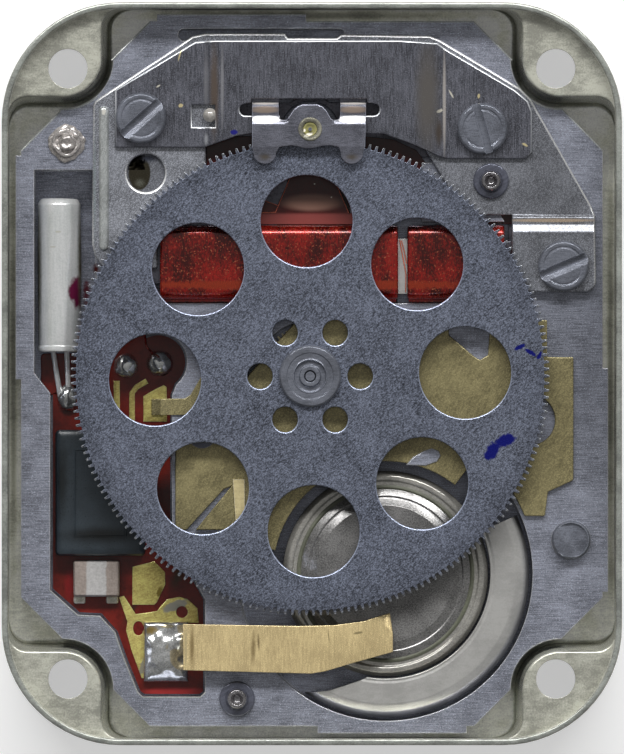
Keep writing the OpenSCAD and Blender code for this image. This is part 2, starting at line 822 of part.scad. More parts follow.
module crimped_stud() color([0.56, 0.57, 0.6]) {
    drum(stud_place, stud_shank_r, top - stud_depth, top + join);
    drum(stud_place, 1.05, top, top + 0.2);
    drum(stud_place, 0.78, top + 0.2 - join, top + 0.35);
    translate([stud_place[0], stud_place[1], top + 0.35]) intersection() {
        sphere(r = 0.58);
        translate([0, 0, 0.45]) cube([2, 2, 1], center = true);
    }
}

module locating_post() color([0.62, 0.62, 0.6]) {
    drum(locating_place, stud_shank_r, top - stud_depth, flange_top + 0.35);
}

module flanged_posts() color([0.57, 0.57, 0.58]) {
    for (i = [0, 1]) {
        seat = i == 0 ? bridge_z : top;
        drum(post_places[i], stud_shank_r, top - stud_depth, seat + join);
        translate([post_places[i][0], post_places[i][1], seat]) difference() {
            union() {
                cylinder(r = 1, h = 0.25);
                cylinder(r = 0.55, h = 0.8);
            }
            translate([0, 0, 0.5]) cylinder(r = 0.28, h = cut);
        }
    }
}

module stop_pin() color([0.55, 0.56, 0.58]) {
    difference() {
        drum(pin_place, pin_r, top - stud_depth, top + 0.7);
        translate([pin_place[0], pin_place[1], top + 0.85]) rotate([0, 28, 60])
            cube([2, 4, 0.5], center = true);
    }
}

module stator() color([0.45, 0.46, 0.48]) {
    neck = 0.3;
    difference() {
        union() {
            slab(stator_z, stator_z + stator_t) stator_plan();
            drum(rotor, stator_hole_r + neck, stator_z, stator_z + stator_t);
        }
        hole(rotor, stator_hole_r, stator_z - cut, top + cut);
        for (place = screw_places)
            hole(place, screw_r + screw_gap, stator_z - cut, top + cut);
        hole(locating_place, stud_shank_r, stator_z - cut, top + cut);
        hole(post_places[0], stud_shank_r + screw_gap, stator_z - cut, top + cut);
    }
}

module coil_core() color([0.4, 0.41, 0.43]) {
    core_start = -11.7;
    core_end = 15.2;
    difference() {
        union() {
            translate([core_start, coil_y - core_w / 2, top - core_t])
                cube([core_end - core_start, core_w, core_t]);
            slab(top - core_t, top + tab_lift)
                translate([core_step_x, coil_y - core_w / 2])
                    square([core_end - core_step_x, core_w]);
        }
        hole(screw_places[2], screw_r + screw_gap, top - 2, bridge_z + 1);
    }
}

// The two plain wound bodies that carry the outer layer of turns
module coil_bodies() color([0.35, 0.06, 0.03]) {
    body_w = coil_w - 2 * turn_d - 0.06;
    body_h = coil_h - 2 * turn_d - 0.12;
    body_r = 0.6;
    difference() {
        for (run = [[coil_x, coil_left_l], [coil_right_x, coil_right_l]])
            translate([run[0] + run[1] / 2, coil_y, coil_z])
                along_x(run[1]) rounded_square(body_w, body_h, body_r);
        translate([coil_x - 1, coil_y - core_w / 2, top - core_t])
            cube([coil_end_x - coil_x + 2, core_w, core_t]);
    }
}

// Route of a winding: round a flat section whose corners follow a fourth-power curve
turn_points = 24;
function signed_root(v) = sign(v) * sqrt(abs(v));
function turn_point(start, pitch, i) =
    let (a = 360 * i / turn_points + 90)
        [start + pitch * i / turn_points,
         coil_y + (coil_w - turn_d) / 2 * signed_root(cos(a)),
         coil_z + (coil_h - turn_d) / 2 * signed_root(sin(a))];
function winding_route(start, length, turns) =
    let (pitch = (length - turn_d) / turns)
        [for (i = [0 : turns * turn_points])
            turn_point(start + turn_d / 2, pitch, i)];
function unit(v) = v / norm(v);

// Rings of a tube along a route, each square to the route
function tube_rings(route, r, sides) =
    let (last = len(route) - 1)
        [for (i = [0 : last])
            let (run = unit(route[min(i + 1, last)] - route[max(i - 1, 0)]),
                 out = [0, route[i][1] - coil_y, route[i][2] - coil_z],
                 up = unit(out - (out * run) * run),
                 side = cross(run, up))
                for (k = [0 : sides - 1])
                    route[i] + r * (cos(360 * k / sides) * up + sin(360 * k / sides) * side)];

module tube(route, r, sides = 6) {
    rings = len(route);
    polyhedron(
        points = tube_rings(route, r, sides),
        faces = concat(
            [[for (k = [0 : sides - 1]) k]],
            [for (i = [0 : rings - 2], k = [0 : sides - 1])
                [i * sides + k, (i + 1) * sides + k, (i + 1) * sides + (k + 1) % sides]],
            [for (i = [0 : rings - 2], k = [0 : sides - 1])
                [i * sides + k, (i + 1) * sides + (k + 1) % sides, i * sides + (k + 1) % sides]],
            [[for (k = [sides - 1 : -1 : 0]) (rings - 1) * sides + k]]
        )
    );
}

// Least clear distance between turns that lie half a turn or more apart
function least_gap(route, d) =
    min([for (i = [0 : len(route) - 1 - turn_points / 2],
              j = [i + turn_points / 2 : min(i + 3 * turn_points / 2, len(route) - 1)])
        norm(route[i] - route[j])]) - d;

module winding(start, length, turns, name) {
    route = winding_route(start, length, turns);
    echo(str(name, " least gap to itself ", least_gap(route, turn_d), " mm"));
    tube(route, turn_d / 2);
}

module coil_winding_left() color([0.45, 0.09, 0.04]) {
    winding(coil_x, coil_left_l, left_turns, "coil_winding_left");
}

module coil_winding_right() color([0.45, 0.09, 0.04]) {
    winding(coil_right_x, coil_right_l, right_turns, "coil_winding_right");
}

// Tape under the coil: a strip that shows below it and a tab that shows above it
module coil_film() color([0.55, 0.12, 0.08]) {
    strip_low = coil_slot_y + 0.03;
    strip_top = strip_low + coil_w;
    strip_end = coil_x + coil_left_l;
    slab(coil_floor, coil_floor + film_t) polygon([
        [coil_x, strip_low], [strip_end, strip_low], [strip_end, strip_top],
        [2.15, strip_top], [2.15, 8.6], [2.1, 11.15], [-1.3, 11.15], [-1.97, 8.6],
        [-1.97, strip_top], [coil_x, strip_top]
    ]);
}

module crystal_can() color([0.66, 0.67, 0.65]) {
    edge = 0.25;
    r = crystal_d / 2;
    translate([crystal_x, crystal_end_y, crystal_z]) rotate([-90, 0, 0]) {
        rotate_extrude() polygon([
            [0, 0], [r - edge, 0], [r, edge], [r, crystal_l - edge], [r - edge, crystal_l],
            [0, crystal_l]
        ]);
    }
}

module crystal_leads() color([0.75, 0.74, 0.68]) {
    difference() {
        lead_shapes();
        translate([crystal_x, crystal_end_y + 1, crystal_z]) cube([4, 2, 4], center = true);
    }
}

// The two leads, from inside the can's end down to the board
module lead_shapes() {
    grow = 0.3;
    for (side = [-1, 1]) {
        x = crystal_x + side * lead_pitch / 2;
        foot = [lead_blob[0] + side * lead_r * 1.6, lead_blob[1], board_z + 1.5 * lead_r];
        wire([x, crystal_end_y + grow, crystal_z], foot, lead_r);
    }
}

// The board fills the pocket below the crystal
module circuit_board() color([0.3, 0.06, 0.05]) {
    inset = board_gap;
    slab(pocket_z, board_z)
        polygon([
            [-14.75 + inset, -1 - inset], [-12.4, -0.3], [-12.2, 2.46 - inset],
            [-9.25 - inset, 2.46 - inset], [-9.25 - inset, 0.66],
            [-7.6 - inset, -0.5], [-7.88 - inset, -1.2], [-7.88 - inset, -9.37],
            [-6.02 - inset, -12.75], [-6.02 - inset, -17.93],
            [-6.3 - inset / 2, -18.21 + inset], [-9.52 + inset / 2, -18.21 + inset],
            [-9.8 + inset, -17.93], [-10.53 + inset, -16.13], [-11.09 + inset, -14.55],
            [-11.94 + inset / 2, -13.65 + inset], [-13.18 + inset / 2, -13.59 + inset],
            [-14.75 + inset, -12.19 + inset / 2]
        ]);
    drum(bulge, bulge_r - inset, pocket_z, board_z);
}

// Copper pads and tracks that show beside the parts
module board_pads() color([0.78, 0.68, 0.35]) {
    slab(board_z, board_z + pad_t) {
        translate([-10.14, -13.09]) square([1.86, 2.03]);
        translate([-9.5, -2.83]) square([1.25, 2.3]);
        translate([-10.2, -2.8]) square([0.3, 1.8]);
        translate([-11.1, -2.6]) square([0.35, 2.4]);
        translate([-9.52, -17.4]) square([2.5, 3.4]);
        for (ring = [[-9.85, -13.74, 0.4], [-7.43, -13.5, 0.45]])
            translate([ring[0], ring[1]]) difference() {
                circle(r = ring[2]);
                circle(r = ring[2] / 2);
            }
    }
}

module ic_package() color([0.14, 0.18, 0.2]) {
    bevel = 0.3;
    difference() {
        translate([ic_place[0], ic_place[1], board_z]) cube([ic_w, ic_l, ic_h]);
        translate([ic_place[0], ic_place[1], board_z + ic_h]) {
            for (x = [0, ic_w]) translate([x, ic_l / 2, 0]) rotate([0, 45, 0])
                cube([bevel, ic_l + 1, bevel], center = true);
            for (y = [0, ic_l]) translate([ic_w / 2, y, 0]) rotate([45, 0, 0])
                cube([ic_w + 1, bevel, bevel], center = true);
        }
        translate([ic_place[0] + 1.1, ic_place[1] + 1, board_z + ic_h - 0.1])
            cube([ic_w - 2, ic_l - 2, 1]);
    }
}

// Chip capacitor: a pale middle between two metal end caps
module chip_capacitor() color([0.65, 0.6, 0.56]) {
    end_cap = 0.8;
    lip = 0.03;
    translate([capacitor_place[0], capacitor_place[1], board_z]) {
        translate([lip, lip, lip])
            cube([capacitor_w - 2 * lip, capacitor_l - 2 * lip, capacitor_h - 2 * lip]);
        for (x = [0, capacitor_w - end_cap])
            translate([x, 0, 0]) cube([end_cap, capacitor_l, capacitor_h]);
    }
}

// A blob of solder: the part of a ball above the board
module solder_blob(place, r, sink) {
    translate([place[0], place[1], board_z]) intersection() {
        translate([0, 0, -sink]) sphere(r = r);
        translate([0, 0, r]) cube([3 * r, 3 * r, 2 * r], center = true);
    }
}

module solder_joints() color([0.66, 0.66, 0.68]) {
    difference() {
        solder_blob(lead_blob, 0.62, 0.1);
        lead_shapes();
    }
    solder_blob(side_blob, 0.68, 0.2);
    solder_blob(bulge_blob, 0.74, 0.2);
}

// Tinned block that carries the contact strip's leg
module contact_terminal() color([0.6, 0.58, 0.55]) {
    translate([-9.5, -17.3, board_z + pad_t]) cube([2.45, 3.2, terminal_t]);
}

module battery_contact() color([0.76, 0.68, 0.48]) {
    intersection() {
        slab(well_z, top + 2) contact_plan();
        contact_section();
    }
}

module contact_plan() {
    polygon([
        [leg_x, -16.7], [leg_x, -14.1], [-0.67, -14.21], [1.3, -14.16],
        [2.9, -13.95], [4.4, -13.48], [4.57, -14.72], [4.57, -15.68], [2.3, -16.3],
        [0.8, -16.75], [0, -16.89], [-3.5, -16.8]
    ]);
}

// The strip stands on its leg, runs level, then bends down until its end rests on the cap
module contact_section() {
    bend_x = 1;
    rest_z = cell_z + cell_h + 0.02;
    tip_x = 4.1;
    foot_z = board_z + pad_t + terminal_t;
    translate([0, -15, 0]) along_y(6) polygon([
        [leg_x, foot_z], [leg_x + contact_t, foot_z], [leg_x + contact_t, contact_z],
        [bend_x, contact_z], [tip_x, rest_z], [5, rest_z], [5, rest_z + contact_t],
        [tip_x, rest_z + contact_t], [bend_x, contact_z + contact_t],
        [leg_x, contact_z + contact_t]
    ]);
}

module cell_can() color([0.62, 0.62, 0.6]) {
    can_wall = cell_r - groove_r;
    round_r = min(0.35, 0.37 * can_wall);
    bevel = min(0.1, 0.25 * can_wall);
    foot = 0.2;
    translate([cell[0], cell[1], cell_z]) rotate_extrude() polygon([
        [0, 0], [cell_r - foot, 0], [cell_r, foot], [cell_r, shoulder_h - round_r],
        [cell_r - 0.3 * round_r, shoulder_h - 0.35 * round_r],
        [cell_r - round_r, shoulder_h], [groove_r + bevel, shoulder_h],
        [groove_r, shoulder_h - bevel], [groove_r, shoulder_h - gasket_depth],
        [0, shoulder_h - gasket_depth]
    ]);
}

module cell_gasket() color([0.2, 0.2, 0.2]) {
    translate([cell[0], cell[1], cap_z]) difference() {
        cylinder(r = groove_r, h = gasket_depth - 0.08);
        translate([0, 0, -cut]) cylinder(r = cap_d / 2, h = 2);
    }
}

module cell_cap() color([0.55, 0.55, 0.53]) {
    flange_r = cap_d / 2;
    step_r = flange_r - 0.4;
    cap_h = cell_h - shoulder_h + gasket_depth;
    translate([cell[0], cell[1], cap_z]) rotate_extrude() polygon([
        [0, 0], [flange_r, 0], [flange_r, gasket_depth - 0.08],
        [flange_r - 0.15, gasket_depth], [step_r, gasket_depth + 0.02],
        [step_r - 0.3, cap_h], [0, cap_h]
    ]);
}

// Spring strap: a crescent round the cell with a skirt down to the floor of the well
module cell_strap() color([0.63, 0.63, 0.62]) {
    edge_r = 0.3;
    reach = 2 * strap_out_r;
    translate([cell[0], cell[1], 0]) intersection() {
        rotate_extrude() polygon([
            [strap_in_r, strap_z], [strap_out_r - strap_t, strap_z],
            [strap_out_r - strap_t, well_z], [strap_out_r, well_z],
            [strap_out_r, strap_z], [strap_out_r - 0.1, strap_z + strap_t / 2],
            [strap_out_r - edge_r, strap_z + strap_t], [strap_in_r, strap_z + strap_t]
        ]);
        slab(well_z, top) polygon([
            [0, 0], for (a = [24, -12, -48, -84, -112]) reach * [cos(a), sin(a)],
            (strap_out_r + join) * [cos(-124.4), sin(-124.4)],
            (strap_in_r - join) * [cos(-99.9), sin(-99.9)]
        ]);
    }
}

module train_bridge() color([0.45, 0.42, 0.3]) {
    difference() {
        slab(top, top + train_bridge_t) difference() {
            train_bridge_plan();
            translate(cell) circle(r = well_r + 0.2);
        }
        hole(centre, bush_r, top - cut, top + 1);
        hole(third, pivot_r + pivot_gap, top - cut, top + 1);
        for (place = bridge_screw_places)
            hole(place, small_screw_r + screw_gap, top - cut, top + 1);
        hole(bridge_window_place, bridge_window_r, top - cut, top + 1);
    }
}

module train_bridge_plan() {
    difference() {
        polygon([
            [13.25, 3.03], [13.25, 0.94], [14.74, 0.94], [14.74, -5.99], [14.54, -6.1],
            [13.3, -6.66], [13.13, -8.02], [11, -8.02], [-2, -10], [-3.55, -8.8], [-7.7, -8.8],
            [-7.7, -4.3], [-3.83, -0.35], [-2.08, 1.62], [-0.84, 3.03]
        ]);
        polygon([
            [7.72, 3.4], [7.72, 2.18], [9.19, 0.94], [9.47, 0.77], [9.92, 1.05],
            [10.03, 2.57], [10.03, 3.4]
        ]);
        polygon([[-4.55, -6.35], [-4.95, -6.5], [-7.1, -8.85], [-6.6, -8.85]]);
    }
}

module train_bridge_screws() color([0.5, 0.5, 0.52]) {
    for (place = bridge_screw_places)
        slotted_screw(place, top + train_bridge_t, small_head_r, small_head_t,
                      small_screw_r, train_bridge_t + 1, slot_w * 0.7, 35);
}

module centre_bush() color([0.72, 0.62, 0.35]) {
    difference() {
        drum(centre, bush_r, top, top + train_bridge_t + bush_rise);
        hole(centre, arbor_r + pivot_gap, top - cut, top + 1);
    }
}

// Bent finger from the board's round end up onto the main plate
module contact_finger() color([0.47, 0.44, 0.28]) {
    finger_t = 0.15;
    foot_x = -9.06;
    climb_x = -8.25;
    tip_x = -6.2;
    foot_z = board_z + pad_t;
    intersection() {
        slab(board_z, top + 1) polygon([
            [foot_x, -2.34], [foot_x, -1.42], [-7.15, -1.4], [-6.85, -1.2], [tip_x, -0.1],
            [tip_x, -2.34]
        ]);
        translate([0, -1, 0]) along_y(5) polygon([
            [foot_x, foot_z], [climb_x - finger_t, foot_z], [climb_x - finger_t, top],
            [tip_x, top], [tip_x, top + finger_t], [climb_x - 2 * finger_t, top + finger_t],
            [climb_x - 2 * finger_t, foot_z + finger_t], [foot_x, foot_z + finger_t]
        ]);
    }
}

// Thin brass finger on the end of the train bridge's arm
module pressure_finger() color([0.72, 0.6, 0.35]) {
    slab(top + train_bridge_t, top + train_bridge_t + 0.12)
        polygon([[-4.45, -5.95], [-3.8, -5.95], [-3.78, -8.25], [-4.3, -8.25]]);
}

module motion_cover() color([0.6, 0.58, 0.45]) {
    difference() {
        slab(cover_z, plate_z) union() {
            translate(centre) circle(r = motion_recess_r + 0.7);
            translate(motion) circle(r = minute_recess_r + 0.7);
            for (place = cover_screw_places) translate(place) circle(r = 1.2);
        }
        hole(centre, hour_boss_r + pivot_gap, cover_z - cut, plate_z + cut);
        hole(motion, pivot_r + pivot_gap, cover_z - cut, plate_z + cut);
        for (place = cover_screw_places)
            hole(place, small_screw_r + screw_gap, cover_z - cut, plate_z + cut);
    }
}

module cover_screws() color([0.5, 0.5, 0.52]) {
    for (place = cover_screw_places)
        translate([0, 0, 2 * cover_z]) mirror([0, 0, 1])
            slotted_screw(place, cover_z, small_head_r, small_head_t, small_screw_r,
                          cover_t + 0.6, slot_w * 0.7, 70);
}

module seconds_wheel() color([0.41, 0.43, 0.47]) {
    first_hole = 91.3;
    difference() {
        translate([centre[0], centre[1], wheel_z])
            linear_extrude(height = wheel_t) wheel_plan(wheel_teeth, rotor_module, 90);
        translate([centre[0], centre[1], wheel_z - cut]) {
            cylinder(r = collar_r, h = 2);
            for (i = [0 : wheel_holes - 1]) rotate(first_hole + 360 / wheel_holes * i)
                translate([wheel_hole_at, 0, 0]) cylinder(r = wheel_hole_r, h = 2);
            for (i = [0 : hub_holes - 1]) rotate(360 / hub_holes * i)
                translate([hub_hole_at, 0, 0]) cylinder(r = hub_hole_r, h = 2);
        }
    }
}

module seconds_hub() color([0.5, 0.52, 0.55]) {
    hub_z = wheel_z + wheel_t;
    foot_z = top + train_bridge_t + bush_rise + end_shake;
    translate([centre[0], centre[1], 0]) difference() {
        union() {
            translate([0, 0, foot_z]) cylinder(r = collar_r, h = hub_z - foot_z + join);
            translate([0, 0, hub_z]) cylinder(r = hub_r, h = hub_t);
        }
        translate([0, 0, hub_z + hub_t - 0.15]) difference() {
            cylinder(r = 0.9, h = 1);
            translate([0, 0, -cut]) cylinder(r = 0.6, h = 2);
        }
        translate([0, 0, foot_z - cut]) cylinder(r = arbor_r, h = 5);
    }
}

module seconds_arbor() color([0.6, 0.6, 0.62]) {
    arbor_top = wheel_z + wheel_t + hub_t + 0.05;
    drum(centre, seconds_post_r, seconds_post_z, seconds_seat_z + join);
    drum(centre, seconds_tube_r, seconds_seat_z, seconds_pinion_z + join);
    drum(centre, arbor_r, seconds_pinion_z + seconds_pinion_t - join, arbor_top);
    translate([centre[0], centre[1], seconds_pinion_z])
        linear_extrude(height = seconds_pinion_t)
            pinion_plan(train_leaves, third_module, third_angle);
}

module rotor_magnet() color([0.2, 0.2, 0.21]) {
    difference() {
        drum(rotor, magnet_r, magnet_z, magnet_z + magnet_t);
        hole(rotor, arbor_r, magnet_z - cut, magnet_z + 2);
    }
}

module rotor_arbor() color([0.62, 0.62, 0.63]) {
    pinion_z = wheel_z - 0.15;
    pinion_t = wheel_t + 0.3;
    drum(rotor, pivot_r, rotor_foot, magnet_floor + end_shake + join);
    drum(rotor, arbor_r, magnet_floor + end_shake, clip_z - end_shake);
    drum(rotor, pivot_r, clip_z - end_shake - join, rotor_top);
    translate([rotor[0], rotor[1], pinion_z]) linear_extrude(height = pinion_t)
        pinion_plan(rotor_leaves, rotor_module, -90);
}

module third_wheel() color([0.72, 0.62, 0.35]) {
    difference() {
        translate([third[0], third[1], third_wheel_z])
            linear_extrude(height = train_wheel_t)
                wheel_plan(third_teeth, third_module, third_angle - 180);
        hole(third, train_arbor_r, third_wheel_z - cut, third_wheel_z + 1);
        for (i = [0 : 3]) translate([third[0], third[1], third_wheel_z - cut])
            rotate(90 * i) translate([1.5, 0, 0]) cylinder(r = 0.7, h = 2);
    }
}

module third_arbor() color([0.6, 0.6, 0.62]) {
    drum(third, pivot_r, recess_z - 0.35, recess_z + end_shake + join);
    drum(third, train_arbor_r, recess_z + end_shake, top - end_shake);
    drum(third, pivot_r, top - end_shake - join, top + train_bridge_t);
    translate([third[0], third[1], third_pinion_z])
        linear_extrude(height = third_wheel_z - third_pinion_z)
            pinion_plan(train_leaves, centre_module, third_angle - 180);
}

module centre_wheel() color([0.72, 0.62, 0.35]) {
    difference() {
        translate([centre[0], centre[1], centre_wheel_z])
            linear_extrude(height = train_wheel_t)
                wheel_plan(centre_teeth, centre_module, third_angle);
        hole(centre, minute_tube_r, centre_wheel_z - cut, centre_wheel_z + 1);
        for (i = [0 : 3]) translate([centre[0], centre[1], centre_wheel_z - cut])
            rotate(90 * i) translate([1.65, 0, 0]) cylinder(r = 0.65, h = 2);
    }
}

module cannon_pinion() color([0.66, 0.6, 0.42]) {
    leaf_t = train_wheel_t + 0.2;
    difference() {
        union() {
            drum(centre, minute_post_r, minute_post_z, minute_seat_z + join);
            drum(centre, minute_tube_r, minute_seat_z, centre_wheel_z + train_wheel_t + 0.1);
            translate([centre[0], centre[1], cannon_leaf_z])
                linear_extrude(height = leaf_t)
                    pinion_plan(cannon_leaves, cannon_module, motion_angle);
        }
        hole(centre, seconds_tube_r + pivot_gap, minute_post_z - cut, top);
    }
}

module minute_wheel() color([0.72, 0.62, 0.35]) {
    difference() {
        translate([motion[0], motion[1], minute_wheel_z])
            linear_extrude(height = train_wheel_t)
                wheel_plan(minute_teeth, cannon_module, motion_angle - 180);
        hole(motion, train_arbor_r, minute_wheel_z - cut, minute_wheel_z + 1);
    }
}

module minute_arbor() color([0.6, 0.6, 0.62]) {
    drum(motion, pivot_r, cover_z, motion_z + 0.25);
    drum(motion, train_arbor_r, hour_wheel_z, motion_z - end_shake);
    translate([motion[0], motion[1], hour_wheel_z])
        linear_extrude(height = minute_wheel_z - hour_wheel_z)
            pinion_plan(minute_leaves, hour_module, motion_angle - 180);
}

module hour_wheel() color([0.72, 0.62, 0.35]) {
    difference() {
        union() {
            drum(centre, hour_post_r, hour_post_z, hour_seat_z + join);
            drum(centre, hour_boss_r, hour_seat_z, hour_wheel_z + train_wheel_t);
            translate([centre[0], centre[1], hour_wheel_z])
                linear_extrude(height = train_wheel_t)
                    wheel_plan(hour_teeth, hour_module, motion_angle);
        }
        hole(centre, minute_tube_r + pivot_gap, hour_post_z - cut, plate_z + 2);
    }
}

movement_tray();
main_plate();
frame_plate();
motor_bridge();
jewel_clip();
jewel_setting();
upper_rotor_jewel();
lower_rotor_jewel();
plate_screws();
crimped_stud();
locating_post();
flanged_posts();
stop_pin();
stator();
coil_core();
coil_bodies();
coil_winding_left();
coil_winding_right();
coil_film();
crystal_can();
crystal_leads();
circuit_board();
board_pads();
ic_package();
chip_capacitor();
solder_joints();
contact_terminal();
battery_contact();
cell_can();
cell_gasket();
cell_cap();
cell_strap();
train_bridge();
train_bridge_screws();
centre_bush();
contact_finger();
pressure_finger();
motion_cover();
cover_screws();
seconds_wheel();
seconds_hub();
seconds_arbor();
rotor_magnet();
rotor_arbor();
third_wheel();
third_arbor();
centre_wheel();
cannon_pinion();
minute_wheel();
minute_arbor();
hour_wheel();
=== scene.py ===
"""Looks of the watch movement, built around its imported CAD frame."""
import json
import math

import bpy
import bmesh
from mathutils import Matrix, Vector, noise


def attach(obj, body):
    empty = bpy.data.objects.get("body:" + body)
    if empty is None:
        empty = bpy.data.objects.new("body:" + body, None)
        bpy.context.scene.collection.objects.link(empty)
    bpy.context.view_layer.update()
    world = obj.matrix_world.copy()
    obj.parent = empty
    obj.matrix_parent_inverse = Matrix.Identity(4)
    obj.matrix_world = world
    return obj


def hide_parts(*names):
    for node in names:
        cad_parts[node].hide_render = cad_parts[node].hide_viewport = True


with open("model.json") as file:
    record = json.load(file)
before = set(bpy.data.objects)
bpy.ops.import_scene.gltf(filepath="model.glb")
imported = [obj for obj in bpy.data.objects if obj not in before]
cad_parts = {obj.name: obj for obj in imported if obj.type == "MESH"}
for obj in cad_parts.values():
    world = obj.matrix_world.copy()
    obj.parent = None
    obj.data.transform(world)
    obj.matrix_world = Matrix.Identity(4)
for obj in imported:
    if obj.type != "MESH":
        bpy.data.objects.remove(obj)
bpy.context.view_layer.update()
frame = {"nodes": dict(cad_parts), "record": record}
nodes = frame["nodes"]
MM = 0.001
ROTOR, WHEEL, CELL, FRAME_WINDOW = (-0.1, 13.76), (-0.1, -0.14), (4.15, -11.28), (-9.36, 11.31)
BOARD_Z = 3.1

# Camera, straight above the open back. The picture is 624 by 754 pixels at 17.75 pixels a millimetre.
PIXELS = 17.75
PICTURE_H = 754
PICTURE_CENTRE = (0.006, -0.186)
LENS = 900
SENSOR = 36
FOCUS_Z = 6.0
NEAR, FAR = 0.01, 4
camera_data = bpy.data.cameras.new("camera")
camera_data.lens, camera_data.sensor_width = LENS, SENSOR
camera_data.clip_start, camera_data.clip_end = NEAR, FAR
camera = bpy.data.objects.new("camera", camera_data)
bpy.context.collection.objects.link(camera)
camera.location = Vector((*PICTURE_CENTRE, FOCUS_Z + PICTURE_H / PIXELS * LENS / SENSOR)) * MM
bpy.context.scene.camera = camera
bpy.context.scene.view_settings.view_transform = "Standard"


def lamp(name, place, size_x, size_y, watts):
    """An area lamp that points at the middle of the movement."""
    data = bpy.data.lights.new(name, "AREA")
    data.shape = "RECTANGLE"
    data.size, data.size_y, data.energy = size_x, size_y, watts
    light = bpy.data.objects.new(name, data)
    bpy.context.collection.objects.link(light)
    light.location = place
    light.rotation_mode = "QUATERNION"
    light.rotation_quaternion = (Vector((0, 0, 0.005)) - Vector(place)).to_track_quat("-Z", "Y")


NORTH_WATTS, FILL_WATTS = 3.4, 0.12
lamp("north_lamp", (0, 0.36, 0.40), 0.7, 0.08, NORTH_WATTS)
lamp("fill_lamp", (0.05, -0.45, 0.35), 0.5, 0.4, FILL_WATTS)


def linear(r, g, b):
    """Colour of a surface, written as screen values of 0 to 255."""
    return tuple(v / 255 / 12.92 if v <= 10 else ((v / 255 + 0.055) / 1.055) ** 2.4 for v in (r, g, b))


def scaled(color, by):
    return tuple(min(1.0, v * by) for v in color)


WHITE_FLECK = (225, 220, 205)
WARM_FLECK = (220, 205, 160)
INK = (12, 20, 120)

